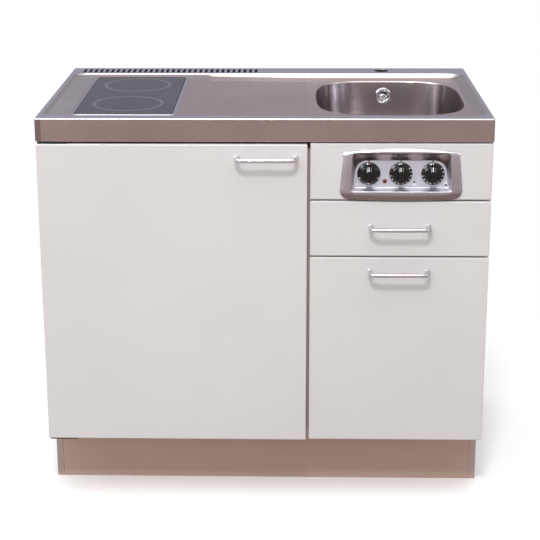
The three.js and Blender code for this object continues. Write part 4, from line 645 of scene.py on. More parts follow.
# Matt black for openings, standing in for the shade inside them: painted shade.
hole_shade_black = new_finish(
    "black_hole_shade", (28.58, 28.58, 30.02), (38.68, 38.68, 38.68), (0.6, 0.8), patches=60,
    grains=3000, bump=0.2)


def turned(profile, sides=64):
    """A profile of (radius, height) pairs carried round the vertical axis."""
    radius, level = np.array(profile, float).T[..., None]
    return skin(polar(radius, full_turn(sides), level))


def moved(shape, by):
    """A shape moved by an offset."""
    points, faces = shape
    return points + by, faces


def to_front(shape, x, y, z, lean=0):
    """Turns a shape made on the vertical axis to face the front, leans it back by an angle,
    and moves it to its place."""
    points, faces = shape
    tilt = np.radians(lean)
    out, upwards = -points[..., 2], points[..., 1]
    return np.stack([points[..., 0] + x,
                     out * np.cos(tilt) + upwards * np.sin(tilt) + y,
                     upwards * np.cos(tilt) - out * np.sin(tilt) + z], -1), faces


def closed_loft(rings):
    """A skin over rings, its first and last ring filled in."""
    rings, faces = skin(rings)
    rows, columns = rings.shape[:2]
    last = (rows - 1) * columns
    ends = [list(range(columns))[::-1], list(range(last, last + columns))]
    return rings, faces.tolist() + ends


def spoke(bearing_degrees, start, end, half, level, top):
    """A bar out from the middle, three faces wide, with a ridge along it."""
    cos, sin = math.cos(math.radians(bearing_degrees)), math.sin(math.radians(bearing_degrees))
    section = [(-half, level), (-half * 0.5, top), (half * 0.5, top), (half, level)]
    return closed_loft([[[r * cos - w * sin, r * sin + w * cos, z] for w, z in section]
                        for r in (start, end)])


WALL_Y, OVERFLOW_Z, WALL_LEANS = 177.7, 853, -4.4


def on_back_wall(*shapes):
    """Shapes stood on the back wall of the bowl at the overflow."""
    return [to_front(shape, BOWL_X, WALL_Y, OVERFLOW_Z, WALL_LEANS) for shape in shapes]


outer_ring = turned([
    [12.4, 0.2], [12.4, 1.6], [12.8, 2.3], [13.8, 2.9], [15.4, 3.1], [17.4, 2.8], [19, 2.1],
    [20.1, 1.1], [20.4, 0.4], [20.4, 0]], 96)
hub = turned([
    [0, 3.2], [1.4, 3.2], [1.6, 3.9], [3.4, 3.7], [4.3, 3], [4.6, 1.8], [4.6, 0.4]], 48)
spokes = [spoke(a, 3.8, 13.2, 1.3, 1.2, 2.5) for a in range(20, 380, 60)]
make_piece("overflow_rosette_cover", on_back_wall(outer_ring, hub, *spokes), chrome, "unit",
           "overflow_rosette", 30)
# A black disc behind the spokes stands in for the dark throat of the overflow: painted shade.
make_piece("overflow_throat_shade", on_back_wall(turned([[0, 0.5], [12.6, 0.5], [12.6, 0.1]], 48)),
           hole_shade_black, "unit", None)


# ---- Vent strip ----
# Pleated black fleece under the slots, which stands in for the shade seen through them:
# painted shade.
shade_sheet_finish = new_finish(
    "black_shade_sheet", (17.89, 17.89, 17.89), (25.46, 25.46, 25.46), (0.9, 1), patches=60,
    grains=3000, bump=0.3, sockets={"Specular IOR Level": 0.08})
PLEAT, PLEAT_RISE, FLEECE_Z = 4, 0.5, 897
pleat_x, pleat_y = np.meshgrid(np.linspace(-478, -22, 457), np.linspace(*VENT_ROW, 3))
pleat_z = FLEECE_Z + PLEAT_RISE * np.cos(2 * np.pi * pleat_x / PLEAT)
vent_shade_strip = make_piece(
    "vent_shade_sheet", [(np.stack([pleat_x, pleat_y, pleat_z], -1), grid_faces(*pleat_x.shape))],
    shade_sheet_finish, "unit", None, 80)
add_modifier(vent_shade_strip, "SOLIDIFY", thickness=0.0004, offset=-1)


# ---- Waste and strainer ----
# A chromed flange screwed through the bowl, with a lift-out basket strainer pressed from
# thin steel and drilled all over its bottom.
centred = [BOWL_X, BOWL_Y, 0]
flange = turned([
    [44, 735.5], [43.4, 737.4], [43.9, 738.6], [45, 739.2], [48, 739], [52, 738.4], [55, 738.1],
    [56.6, 737.9], [57, 737.3], [44, 737.2]], 96)
cup = turned([
    [44, 737.3], [43.4, 736.5], [41.8, 735], [41.6, 712], [38, 709.2], [17.4, 709],
    [17.4, 707.5], [39, 707.4], [43.5, 711], [43.5, 736]], 96)
make_piece("waste_flange", [moved(flange, centred), moved(cup, centred)], chrome, "unit",
           "drain_flange")

basket = turned([
    [0, 709.8], [36.5, 709.8], [38.3, 711], [40.6, 735], [40.9, 739.2], [40.4, 739.8],
    [39.7, 739.4], [38.9, 735], [37, 712.2], [35.8, 711], [6.5, 711], [3.2, 711.6], [2.6, 714],
    [2.6, 739], [4, 741], [6.6, 741.6], [7, 743], [6.6, 746], [4.5, 747.2], [0, 747.5]], 72)
make_piece("strainer_lift_out", [moved(basket, centred)], chrome, "strainer",
           "strainer_basket", 30)
# Black discs on the basket's floor stand in for its drilled holes and the shade under them:
# painted shade.
hole = turned([[0, 0.06], [1.7, 0.06], [1.9, 0]], 10)
make_piece("strainer_holes", [
    moved(hole, polar(r, a, 711.02) + centred)
    for r, count in ((12, 8), (20, 14), (28.5, 20)) for a in full_turn(count)],
    hole_shade_black, "strainer", None)


# ---- Hob ----
# A plate of dark ceramic glass laid in the collar on a bead of sealant, with two printed
# cooking zones and a fine printed dot pattern; its edge is ground to a small bevel.
HOB_X = (GLASS[0] + GLASS[1]) / 2


def outline_points(left, right, front, back, radius, steps=8):
    """A rounded rectangle: a quarter circle of the radius round each corner's middle."""
    quarter = np.linspace(0, np.pi / 2, steps + 1)
    left, right, front, back = left + radius, right - radius, front + radius, back - radius
    return np.concatenate([
        polar(radius, quarter + start)[:, :2] + middle for middle, start in (
            ((right, front), -np.pi / 2), ((right, back), 0), ((left, back), np.pi / 2),
            ((left, front), np.pi))])


def zone_print(tree, tone):
    """The printed rings, each where the distance from its middle is within half its width of
    its radius, and the dots."""
    spot = object_point(tree)
    flat_spot = place(tree, "VectorMath", {0: spot, 1: (1, 1, 0)}, operation="MULTIPLY").outputs[0]
    for x, y, radius, width, colour in (
            (HOB_X, 73, 77.5, 8, (72, 71, 77)), (HOB_X, -144, 77.5, 8, (72, 71, 77)),
            (-232, -20, 10, 2.4, (66, 65, 70)), (-234, 160, 2, 5, (10, 14, 150))):
        out = distance_to(tree, flat_spot, (x / METRE, (y + MIDDLE_Y) / METRE, 0))
        off = maths(tree, "ABSOLUTE", maths(tree, "SUBTRACT", out, radius / METRE))
        half = width / 2 / METRE
        mask = carried(tree, off, half - 0.0002, half + 0.0002, 1, 0)
        tone = painted(tree, tone, mask, linear(*colour))
    dots = place(tree, "TexVoronoi", {"Vector": spot, "Scale": 420, "Randomness": 0.15})
    dot = carried(tree, dots.outputs["Distance"], 0.2, 0.3, 0.35, 0)
    return painted(tree, tone, dot, linear(88, 86, 90))


glass = new_finish(
    "ceramic_glass", (28, 26, 31), (24, 22, 26), (0.16, 0.22), patches=5, grains=1500,
    bump=0.02, paint=zone_print, sockets={"IOR": 1.36})
glass_rings = []
for d, z in ((1.2, 896.6), (0.2, 896.9), (0, 897.4), (0, 899.5), (0.35, 900.25), (1.1, 900.6)):
    flat = outline_points(GLASS[0] + d, GLASS[1] - d, GLASS[2] + d, GLASS[3] - d, GLASS[4] - d)
    glass_rings.append(np.column_stack([flat, np.full(len(flat), z)]))
make_piece("ceramic_plate", [closed_loft(glass_rings)], glass, "unit", "hob_glass",
           20)


# ---- Fronts ----
# Board faced with white satin laminate and edged with a thin band, its arrises eased. The
# control front has an opening for the recess of the bezel; the door covers the refrigerator.
front_white = new_finish(
    "satin_laminate", (217, 216, 216), (211, 209, 209), (0.42, 0.5), patches=2.2, amount=0.7,
    grains=1400, sockets={"Coat Weight": 0.12, "Coat Roughness": 0.35})
FACE, DOOR_FACE, FRONT_THICKNESS = -298.5, -303.5, 18
EASING, FRONT_CORNER = [(2.2, 0), (0.65, 0.65), (0, 2.2)], 2.8
CONTROL_X, CONTROL_HALF, CONTROL_FOOT, CONTROL_TOP = 300, 198.5, 718, 845
RECESS_MIDDLE = np.array([0, 776])


def eased_section(face):
    """The inset and the depth of each ring of a board, from its face to its back."""
    back = face + FRONT_THICKNESS
    return [(d, face + y) for d, y in EASING] + [(d, back - y) for d, y in EASING[::-1]]


def upright(outline, y, x=0):
    """A flat outline of x and height stood up at a depth."""
    return np.column_stack([outline[:, 0] + x, 0 * outline[:, 0] + y, outline[:, 1]])


for body, left, right, foot, top, face, node in (
        ("door", -498.5, 95, 144, 842.8, DOOR_FACE, "decor_panel"),
        ("drawer", 101.5, 498.5, 588, 714.4, FACE, "drawer_front"),
        ("pullout", 101.5, 498.5, 144, 584.4, FACE, "pullout_front")):
    make_piece(f"{body}_facing", [closed_loft([
        upright(outline_points(left + d, right - d, foot + d, top - d, FRONT_CORNER - d, 3), y)
        for d, y in eased_section(face)])], front_white, body, node, 20)


def quadratic(start, pull, end, steps=24):
    """A curve from start to end drawn towards the pull point: shares (1-t) squared,
    2t(1-t) and t squared of the three."""
    t = np.linspace(0, 1, steps + 1)[:-1, None]
    return (1 - t) ** 2 * start + 2 * t * (1 - t) * np.array(pull) + t * t * np.array(end)


def straight(start, end):
    """Points along a line, the last left out: drawn towards its own middle."""
    return quadratic(start, (np.array(start) + end) / 2, end, 40)


def recess_outline(share, grow=0):
    """The window in the bezel at share 0, or the narrower recess at the plate at share 1."""
    top_half, foot_half = 106 - 7 * share + grow, 109.5 - 3 * share + grow
    foot, top = 739 + 3.3 * share - grow, 823.2 - 17.2 * share + grow
    corners = np.array([[-foot_half, foot], [foot_half, foot], [top_half, top], [-top_half, top]])
    radii = [5 + 2 * share, 5 + 2 * share, 11 + 17 * share, 11 + 17 * share]
    runs = []
    for i, radius in enumerate(radii):
        following = (i + 1) % 4
        before, after = corners[i - 1] - corners[i], corners[following] - corners[i]
        entry = corners[i] + before * radius / np.hypot(*before)
        leave = corners[i] + after * radius / np.hypot(*after)
        arrive = corners[following] - after * radii[following] / np.hypot(*after)
        runs += [quadratic(entry, corners[i], leave), straight(leave, arrive)]
    return np.concatenate(runs)


def bezel_outline(foot=719.5, top=825.5):
    """Crowned at the top, bulging at the foot and widest just above it."""
    return np.concatenate([
        quadratic((-112, foot), (0, foot - 8.4), (112, foot), 60),
        quadratic((112, foot), (132, foot + 2), (134, foot + 21)),
        straight((134, foot + 21), (127, top - 9)),
        quadratic((127, top - 9), (126.8, top + 1), (118, top + 2.2)),
        quadratic((118, top + 2.2), (0, top + 16.2), (-118, top + 2.2), 60),
        quadratic((-118, top + 2.2), (-126.8, top + 1), (-127, top - 9)),
        straight((-127, top - 9), (-134, foot + 21)),
        quadratic((-134, foot + 21), (-132, foot + 2), (-112, foot))])


# The bearings, seen from the middle of the recess, of the points of the bezel's outline and of
# the corners of the control front.
seen_from = bezel_outline() - RECESS_MIDDLE
corner_x = CONTROL_HALF * np.array([1, 1, -1, -1])
corner_z = np.array([CONTROL_TOP, CONTROL_FOOT] * 2) - RECESS_MIDDLE[1]
bearing = np.sort(np.concatenate([
    np.unwrap(np.arctan2(seen_from[:, 1], seen_from[:, 0])) % (2 * np.pi),
    np.arctan2(corner_z, corner_x) % (2 * np.pi)]))
bearing = bearing[np.append(True, np.diff(bearing) > 1e-4)]
way_x, way_z = np.cos(bearing), np.sin(bearing)


def on_rays(length):
    """Points at a length out from the middle of the recess on each bearing."""
    return RECESS_MIDDLE + polar(length, bearing)[:, :2]


def by_bearing(outline):
    """An outline resampled at the bearings, so that the points of two outlines lie on the
    same rays."""
    ray = outline - RECESS_MIDDLE
    own = np.arctan2(ray[:, 1], ray[:, 0])
    order = np.argsort(own)
    return on_rays(np.interp(bearing, own[order], np.hypot(*ray[order].T), period=2 * np.pi))


def rectangle_outline(half, foot, top):
    """A rectangle met by the bearings: each ray stops at its nearer side."""
    to_side = half / np.maximum(np.abs(way_x), 1e-9)
    height = np.where(way_z > 0, top - RECESS_MIDDLE[1], RECESS_MIDDLE[1] - foot)
    return on_rays(np.minimum(to_side, height / np.maximum(np.abs(way_z), 1e-9)))


def standing(outline, y):
    """A flat outline stood up on the control front."""
    return upright(outline, y, CONTROL_X)


opening = by_bearing(recess_outline(0, 3))
control_rings = [standing(opening, FACE + FRONT_THICKNESS), standing(opening, FACE)]
control_rings += [
    standing(rectangle_outline(CONTROL_HALF - d, CONTROL_FOOT + d, CONTROL_TOP - d), y)
    for d, y in eased_section(FACE)]
make_piece("control_facing", [skin(control_rings, True)], front_white, "unit", "control_front",
           20)


# ---- Bezel and plate ----
# Injection-moulded plastic in satin silver paint: a pillowed frame that clips over the
# opening, with a funnel-shaped recess down to a pale aluminium plate.
def painted_underside_shade(tree, tone):
    """Painted shade: the faces that look down are drawn a browner, darker grey."""
    facing = split(tree, place(tree, "NewGeometry").outputs["Normal"])
    under = carried(tree, facing["Z"], 0.06, -0.22, 0, 0.92)
    return painted(tree, tone, under, linear(130, 115, 114))


bezel_finish = new_finish(
    "silver_painted_plastic", (208, 204, 212), (196, 192, 200), (0.26, 0.32), metallic=0.9,
    patches=12, grains=1800, bump=0.06, paint=painted_underside_shade)
PILLOW_DEPTH, PILLOW_FALL, CROWN_FALL, CROWN_REACH, RECESS_DEPTH = 8, 5.6, 2.2, 53, 10
EDGE_STEP, AIR, WINDOW_BEND = 1.2, 0.35, 2
outer, window = by_bearing(bezel_outline()), by_bearing(recess_outline(0, WINDOW_BEND))
bezel_rings = [standing(outer, FACE - AIR)]
for t in (0, 0.015, 0.06, 0.14, 0.24, 0.36, 0.5, 0.66, 0.83, 1):
    flat = outer + (window - outer) * t
    raised = np.maximum(flat[:, 1] - RECESS_MIDDLE[1], 0) / CROWN_REACH
    pillow = FACE - PILLOW_DEPTH + PILLOW_FALL * (1 - t) ** 2.4 + (0 if t else EDGE_STEP)
    bezel_rings.append(standing(
        flat, np.minimum(pillow + CROWN_FALL * raised**2, FACE - 0.6 - t)))
window_y = bezel_rings[-1][:, 1]
for a in np.radians([20, 40, 60, 80]):
    bezel_rings.append(standing(
        by_bearing(recess_outline(0, WINDOW_BEND - WINDOW_BEND * np.sin(a))),
        window_y + WINDOW_BEND * (1 - np.cos(a))))
funnel_y = window_y + WINDOW_BEND
for share in (0.2, 0.45, 0.7, 0.9):
    bezel_rings.append(standing(by_bearing(recess_outline(share)),
                                funnel_y + share * (FACE + RECESS_DEPTH - funnel_y)))
for a in np.radians([0, 20, 40, 60, 80, 90]):
    bezel_rings.append(standing(
        by_bearing(recess_outline(1, WINDOW_BEND * (np.cos(a) - 1))),
        FACE + RECESS_DEPTH - 0.05 + WINDOW_BEND * np.sin(a)))
for share, grow, y in ((1, -WINDOW_BEND, 13), (1.1, 1.8, 14), (0.1, 4, -AIR)):
    bezel_rings.append(standing(by_bearing(recess_outline(share, grow)), FACE + y))
make_piece("bezel_moulding", [skin(bezel_rings, True)], bezel_finish, "unit", "control_bezel",
           32)

plate_finish = new_finish(
    "satin_aluminium_plate", (206, 208, 219), (198, 200, 211), (0.34, 0.42), metallic=0.25,
    patches=10, grains=700, stretch=(0.05, 2, 2), bump=0.03)
PLATE_Y = FACE + 12
make_piece("control_plate_face", [closed_loft([
    standing(by_bearing(recess_outline(share, -0.4)), y)
    for share, y in ((1, PLATE_Y), (1.1, PLATE_Y + 2))])],
    plate_finish, "unit", "control_plate", 20)

white_ink, dark_ink, red_ink = [
    new_finish(name, colour, tint, (0.4, 0.5), patches=200, grains=3000)
    for name, colour, tint in (("white_print", (240, 240, 242), (228, 228, 230)),
                               ("dark_print", (38, 30, 44), (30, 24, 36)),
                               ("red_print", (176, 30, 24), (160, 26, 22)))]
KNOB_X, KNOB_Z = {"timer": 230, "front_zone": 300, "rear_zone": 370}, 774.5
PRINT_LIFT, STROKE_LIFT, STROKE = 0.05, 0.08, 0.7
CLOCK_X, CLOCK_Z = 203.4, 751


def printed_disc(x, z, outer_radius, inner_radius=0, lift=PRINT_LIFT):
    """A flat printed disc or ring, a hair proud of the plate."""
    return to_front(turned([[inner_radius, lift], [outer_radius, lift]], 28), x, PLATE_Y, z)


def printed_shape(corners, lift):
    """A flat printed shape through its corners."""
    return upright(np.array(corners), PLATE_Y - lift), np.array([range(len(corners))])


def printed_wedge(x, z, half, tall):
    """A small printed pointer with its tip down."""
    return printed_shape([(x, z), (x + half, z + tall), (x - half, z + tall)], PRINT_LIFT)


def clock_hand(x, z):
    """A short printed stroke from the middle of the clock."""
    along = np.array([x - CLOCK_X, z - CLOCK_Z])
    side = np.array([-along[1], along[0]]) * STROKE / 2 / np.hypot(*along)
    middle, end = np.array([CLOCK_X, CLOCK_Z]), np.array([x, z])
    return printed_shape([middle - side, end - side, end + side, middle + side], STROKE_LIFT)


make_piece("white_plate_marks", [
    printed_disc(CLOCK_X, CLOCK_Z, 4.2), printed_disc(330, 750, 3.2),
    printed_disc(399.2, 754, 3.2)], white_ink, "unit", None, outward=False)
make_piece("dark_plate_marks", [
    printed_disc(CLOCK_X, CLOCK_Z, 4.4, 3.9, STROKE_LIFT), clock_hand(203.4, 754),
    clock_hand(205.4, 751), printed_disc(330, 755.4, 2.2), printed_disc(399.2, 748.6, 2.2),
    *[printed_wedge(x, 799.6, 2.3, 4.4) for x in KNOB_X.values()]],
    dark_ink, "unit", None, outward=False)


# ---- Knobs ----
# Glossy black moulded knobs: a dial ring with printed marks, a raised middle and a grip bar
# across it, pushed on to the spindles of the timer and of the two zone switches.
knob_black = new_finish(
    "glossy_black_plastic", (17.89, 20.01, 17.89), (27.06, 28.58, 27.06), (0.09, 0.14),
    patches=60, grains=2500, bump=0.01, sockets={"Specular IOR Level": 0.5})
knob_radius = np.array([0, 1, 2, 3, 4, 5, 5.6, 6.2, 6.8, 7.4, 8, 9, 10, 11.5, 13, 14.5, 15.7, 16.4,
                        17, 17.6, 18.2, 18.8, 19.4, 19.9, 20.4, 21.2, 22, 23, 24, 24.6, 25.2, 25.4,
                        25.4, 25.4])
RING_REACH, RING_LEVEL = [20.6, 22, 23.5, 24.6, 25.2, 25.4], [5, 4.3, 3.35, 2.55, 1.95, 1.5]
KNOB_SIDES, DISC_RADIUS, SHOULDER, DIP_LEVEL, DISC_RISE = 128, 16.2, 4.2, 5, 5
GRIP_HALF, GRIP_END, GRIP_RISE, SIDE_RUN, END_RUN = 6.6, 18.6, 11.4, 1.5, 3
FACET_LEVEL, FACET_SLOPE, FACET_START = 20.8, 0.618, 8.5
radius, way = np.meshgrid(knob_radius, full_turn(KNOB_SIDES), indexing="ij")
reach_up = radius * np.sin(way)
across, along = np.abs(radius * np.cos(way)), np.abs(reach_up)
# The disc is a shallow dish with a quarter-round shoulder down to the dial ring; the grip
# rises over it with round sides and ends, and its upper half is cut to a slanted facet.
shoulder = np.sqrt(np.clip(1 - ((radius - DISC_RADIUS) / SHOULDER) ** 2, 0, 1))
dish = 9.4 + 0.6 * (radius / DISC_RADIUS) ** 2
disc = np.where(radius < DISC_RADIUS, dish, DIP_LEVEL + DISC_RISE * shoulder)
disc = np.where(radius > 20.3, np.interp(radius, RING_REACH, RING_LEVEL), disc)
side_fall = np.sin(np.clip((GRIP_HALF - across) / SIDE_RUN, 0, 1) * np.pi / 2) ** 0.6
end_fall = np.sin(np.clip((GRIP_END - along) / END_RUN, 0, 1) * np.pi / 2) ** 0.8
crown = 1 - 0.06 * (across / 6) ** 2 - 0.1 * (along / 18) ** 2
facet = FACET_LEVEL - FACET_SLOPE * (reach_up - FACET_START) - np.minimum(across, 6) ** 2 / 14
knob_level = np.minimum(disc + GRIP_RISE * side_fall * end_fall * crown,
                        np.where(reach_up > 0, facet, np.inf))
knob_level[-2:] = [[1], [0]]
knob_points, knob_faces = skin(polar(radius, way, knob_level))
last = (len(knob_radius) - 1) * KNOB_SIDES
knob_shape = knob_points, knob_faces.tolist() + [list(range(last, last + KNOB_SIDES))]
spindle = turned([[0, -21], [2.6, -21], [3, -20.6], [3, 0.5], [0, 0.5]], 24)


def dial_dot(bearing_degrees, size, ring=22.6, stretch=1):
    """A printed dot on the sloping dial ring of a knob, longer along the ring if stretched."""
    points, faces = turned([[0, 0.25], [size, 0.12], [size * 1.05, -0.2]], 12)
    out, beside = points[..., 0] + ring, points[..., 1] * stretch
    cos, sin = math.cos(math.radians(bearing_degrees)), math.sin(math.radians(bearing_degrees))
    level = points[..., 2] + np.interp(np.hypot(out, beside), RING_REACH, RING_LEVEL)
    return np.stack([out * cos - beside * sin, out * sin + beside * cos, level], -1), faces


zone_dots = ([dial_dot(a, 1.25) for a in (35, 12, -10, -33, -56, -78, -102, -124, -147, 191)]
             + [dial_dot(90, 1.9, 23, 0.6)], [dial_dot(a, 1) for a in (168, 146)])
timer_dots = ([dial_dot(a, 1.3, stretch=1.9) for a in (-90, -25, 205)],
              [dial_dot(90, 1.5, 23, 0.8)])
for knob, x in KNOB_X.items():
    white_dots, red_dots = timer_dots if knob == "timer" else zone_dots
    for name, shapes, finish, node, slot in (
            ("knob_moulding", (knob_shape, spindle), knob_black, f"{knob}_knob", "knob_black"),
            ("white_marks", white_dots, white_ink, None, "front_white"),
            ("red_marks", red_dots, red_ink, None, "lamp_red")):
        placed = [to_front(shape, x, PLATE_Y - 0.5, KNOB_Z) for shape in shapes]
        make_piece(f"{knob}_{name}", placed, finish, knob, node, 40 if node else CREASE)


# ---- Pilot lamp ----
# A neon lamp under a red lens with a domed end, moulded in one with its barrel and pushed
# through the plate from behind.
red_lens = new_finish(
    "red_lens", (128, 12, 20), (92, 6, 12), (0.08, 0.14), patches=200, grains=2500,
    sockets={"Coat Weight": 0.6})
dome = [[4.9 * math.cos(a), 0.5 + 2 * math.sin(a)] for a in np.radians(np.linspace(0, 90, 8))]
lens = turned([[0, -23], [4.6, -23], [4.6, 0.4], *dome], 32)
make_piece("pilot_lens", [to_front(lens, 265, PLATE_Y, 757)], red_lens, "unit", "pilot_lamp",
           40)


# ---- Bow handles ----
# A round steel rod in satin silver lacquer, bent at both ends to meet the front, with a small
# collar at each foot and a screw from inside.
rod_silver = new_finish(
    "satin_silver_rod", (206, 203, 208), (192, 189, 195), (0.17, 0.23), metallic=1, patches=30,
    grains=1500, stretch=(0.1, 2, 2), bump=0.03)


def rod_along(path, radius, across, sides=24):
    """A round rod along a path: aside is the path's direction times a fixed vector that it
    never runs along, upwards is aside times the direction, and each ring is the cosine of the
    angle along upwards and its sine along aside, times the radius."""
    way_on = np.gradient(path, axis=0)
    way_on /= np.linalg.norm(way_on, axis=1)[:, None]
    aside = np.cross(way_on, across)
    aside /= np.linalg.norm(aside, axis=1)[:, None]
    upwards = np.cross(aside, way_on)
    way = full_turn(sides)[:, None]
    radius = np.broadcast_to(radius, len(path))[:, None, None]
    return closed_loft(path[:, None] + radius * (
        np.cos(way) * upwards[:, None] + np.sin(way) * aside[:, None]))


# The bow is drawn once round its own middle: straight legs, round bends and a straight middle.
HALF_SPAN, OUT, BEND_RADIUS, ROD_RADIUS = 64, -30.25, 14, 4.75
bend_way = np.radians(np.linspace(0, 90, 13))
left_bend = np.column_stack([
    BEND_RADIUS - BEND_RADIUS * np.cos(bend_way) - HALF_SPAN,
    OUT + BEND_RADIUS - BEND_RADIUS * np.sin(bend_way), 0 * bend_way])
left_half = np.concatenate([[[-HALF_SPAN, y, 0] for y in (-0.4, -3, -8, -13)], left_bend])
middle = [[t, OUT, 0] for t in np.linspace(-46, 46, 12)]
bow = np.concatenate([left_half, middle, left_half[::-1] * [-1, 1, 1]])
collar = turned([
    [0, 0.3], [5.3, 0.3], [5.6, 0.6], [5.6, 1.4], [5.2, 1.9], [4.6, 2.1], [0, 2.1]], 32)
for body, x, face, z in (("door", 6, DOOR_FACE, 813.8), ("drawer", 300, FACE, 656.4),
                         ("pullout", 300, FACE, 552.4)):
    make_piece(f"{body}_bow", [
        rod_along(bow + [x, face, z], ROD_RADIUS, (0, 0, 1)),
        to_front(collar, x - HALF_SPAN, face, z), to_front(collar, x + HALF_SPAN, face, z)],
        rod_silver, body, f"{body}_handle", 40)


# ---- Cabinet boards ----
# Chipboard 16 mm thick, faced with pearl-grained white melamine and edged with a thin band at
# the front; the back edges show the raw chipboard. They are doweled and screwed together.
def chips_and_painted_edge_shade(tree, tone):
    """Raw chips on the faces that look back, which is the board's own colour; the faces that look
    forward are drawn a warmer, darker grey, which is painted shade.
    """
    facing = split(tree, place(tree, "NewGeometry").outputs["True Normal"])
    chips = place(tree, "TexVoronoi", {"Vector": object_point(tree), "Scale": 420})
    chip_tone = ramp(
        tree, chips.outputs["Color"], (0.15, *linear(150, 112, 74)),
        (0.5, *linear(182, 144, 100)), (0.85, *linear(204, 172, 128)))
    tone = painted(tree, tone, maths(tree, "GREATER_THAN", facing["Y"], 0.7), chip_tone)
    # Painted shade: the faces that look forward drawn warmer and darker.
    return painted(tree, tone, maths(tree, "LESS_THAN", facing["Y"], -0.7),
                   linear(190, 170, 163))


def eased(sources, ending, finish, body, ease=0.6, segments=2, instead=False):
    """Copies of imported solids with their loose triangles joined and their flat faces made
    whole, and a bevel round their edges as wide as the ease in millimetres. Their names are
    the solids' own with an ending, or with it instead of the last word."""
    for source in sources.split():
        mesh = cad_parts[source].data.copy()
        shell = bmesh.new()
        shell.from_mesh(mesh)
        bmesh.ops.remove_doubles(shell, verts=shell.verts, dist=1e-6)
        bmesh.ops.dissolve_limit(shell, angle_limit=math.radians(0.5), verts=shell.verts,
                                 edges=shell.edges)
        shell.to_mesh(mesh)
        shell.free()
        mesh.materials.clear()
        kept_name = source.rpartition("_")[0] if instead else source
        piece = present(f"{kept_name}_{ending}", mesh, finish, body, source, CREASE)
        if ease:
            add_modifier(piece, "BEVEL", width=ease / METRE, segments=segments,
                         limit_method="ANGLE", angle_limit=math.radians(CREASE),
                         harden_normals=True)


melamine = new_finish(
    "pearl_melamine", (214, 208, 207), (204, 197, 196), (0.4, 0.52), patches=3, amount=0.7,
    grains=700, bump=0.12, paint=chips_and_painted_edge_shade)
eased("side_panel_left side_panel_right bottom_panel partition_panel rear_rail", "board",
      melamine, "unit", 0.5)
# The front rail is drawn dark brown so that the gap under the worktop reads dark: painted shade.
dark_shade_band = new_finish(
    "dark_brown_shade_rail", (82, 52, 40), (66, 42, 32), (0.5, 0.65), patches=10, amount=0.7,
    stretch=(0.1, 1, 1), bump=0.1)
eased("front_rail", "board", dark_shade_band, "unit", 0.5)
plinth_finish = new_finish(
    "plinth_laminate", (200, 174, 162), (193, 165, 151), (0.42, 0.52), patches=3, amount=0.7,
    stretch=(0.2, 1, 2), bump=0.08)
eased("plinth_board", "facing", plinth_finish, "unit", instead=True)
hardboard = new_finish(
    "hardboard", (150, 116, 84), (122, 90, 62), (0.6, 0.75), patches=12, amount=0.9,
    grains=1600, bump=0.25)
eased("back_panel", "sheet", hardboard, "unit", 0.3, 1, True)


# ---- Plumbing under the bowl ----
# White polypropylene: a drain body clamped to the bowl, a waste pipe, a bottle trap with its
# ribbed nuts and a corrugated hose from the overflow.
pipe_white = new_finish(
    "white_pipe_plastic", (226, 226, 224), (212, 212, 210), (0.3, 0.4), patches=14, amount=0.6,
    grains=1500)
eased("drain_body waste_pipe bottle_trap", "moulding", pipe_white, "unit", 0.8)


RIBS, RIB_RISE, CHAMFER = 18, 1.1, 1.4


def ribbed_nut(radius, bore, width):
    """A nut round a pipe: a bar whose radius swells with the cosine of the angle times the
    number of ribs, with a bore."""
    way = full_turn(8 * RIBS)
    ribs = RIB_RISE * np.maximum(np.cos(RIBS * way), -0.2)
    profile = [(bore, 0), (radius - CHAMFER, 0), (radius, CHAMFER), (radius, width - CHAMFER),
               (radius - CHAMFER, width), (bore, width)]
    return skin([polar(reach + (ribs if reach > bore else 0), way, level)
                 for reach, level in profile], True)


lying, lying_faces = ribbed_nut(24, 16.6, 16)
make_piece("pipe_nuts", [moved(ribbed_nut(27, 22.9, 20), [BOWL_X, 230, 640]),
                         moved((lying[..., [0, 2, 1]], lying_faces), [BOWL_X, 264, 578])],
           pipe_white, "unit", None)


def smooth_route(points, spacing):
    """A curve through points: cubic pieces whose slope at each point is half the step between
    its neighbours, sampled about evenly."""
    slopes = np.gradient(points, axis=0)
    runs = []
    for start, end, slope, next_slope in zip(points, points[1:], slopes, slopes[1:]):
        count = max(2, int(np.linalg.norm(end - start) / spacing))
        t = np.linspace(0, 1, count + 1)[:-1, None]
        runs.append((2 * t**3 - 3 * t**2 + 1) * start + (t**3 - 2 * t**2 + t) * slope
                    + (3 * t**2 - 2 * t**3) * end + (t**3 - t**2) * next_slope)
    return np.append(np.concatenate(runs), points[-1:], axis=0)


hose_route = smooth_route(np.array([
    (0, 192, OVERFLOW_Z), (0, 202, OVERFLOW_Z), (2, 211, 846), (8, 212, 828), (19, 212, 788),
    (29, 211, 755), (38, 202, 738), (60, 172, 722), (80, 146, 711), (90, 128, 708),
    (94, 80, 708), (97, 30, 708), (95, 8, 708), (84, 0, 708), (52, 0, 708)], float), 1.1) + centred
travelled = np.append(0, np.cumsum(np.linalg.norm(np.diff(hose_route, axis=0), axis=1)))
HOSE_RADIUS, RING_RISE, RING_PITCH = 9.3, 0.7, 4.4
hose_radius = HOSE_RADIUS + RING_RISE * np.cos(2 * np.pi * travelled / RING_PITCH)
make_piece("overflow_hose_corrugated", [rod_along(hose_route, hose_radius, (0.46, 0.46, 0.76))],
           pipe_white, "unit", "overflow_hose", 60)


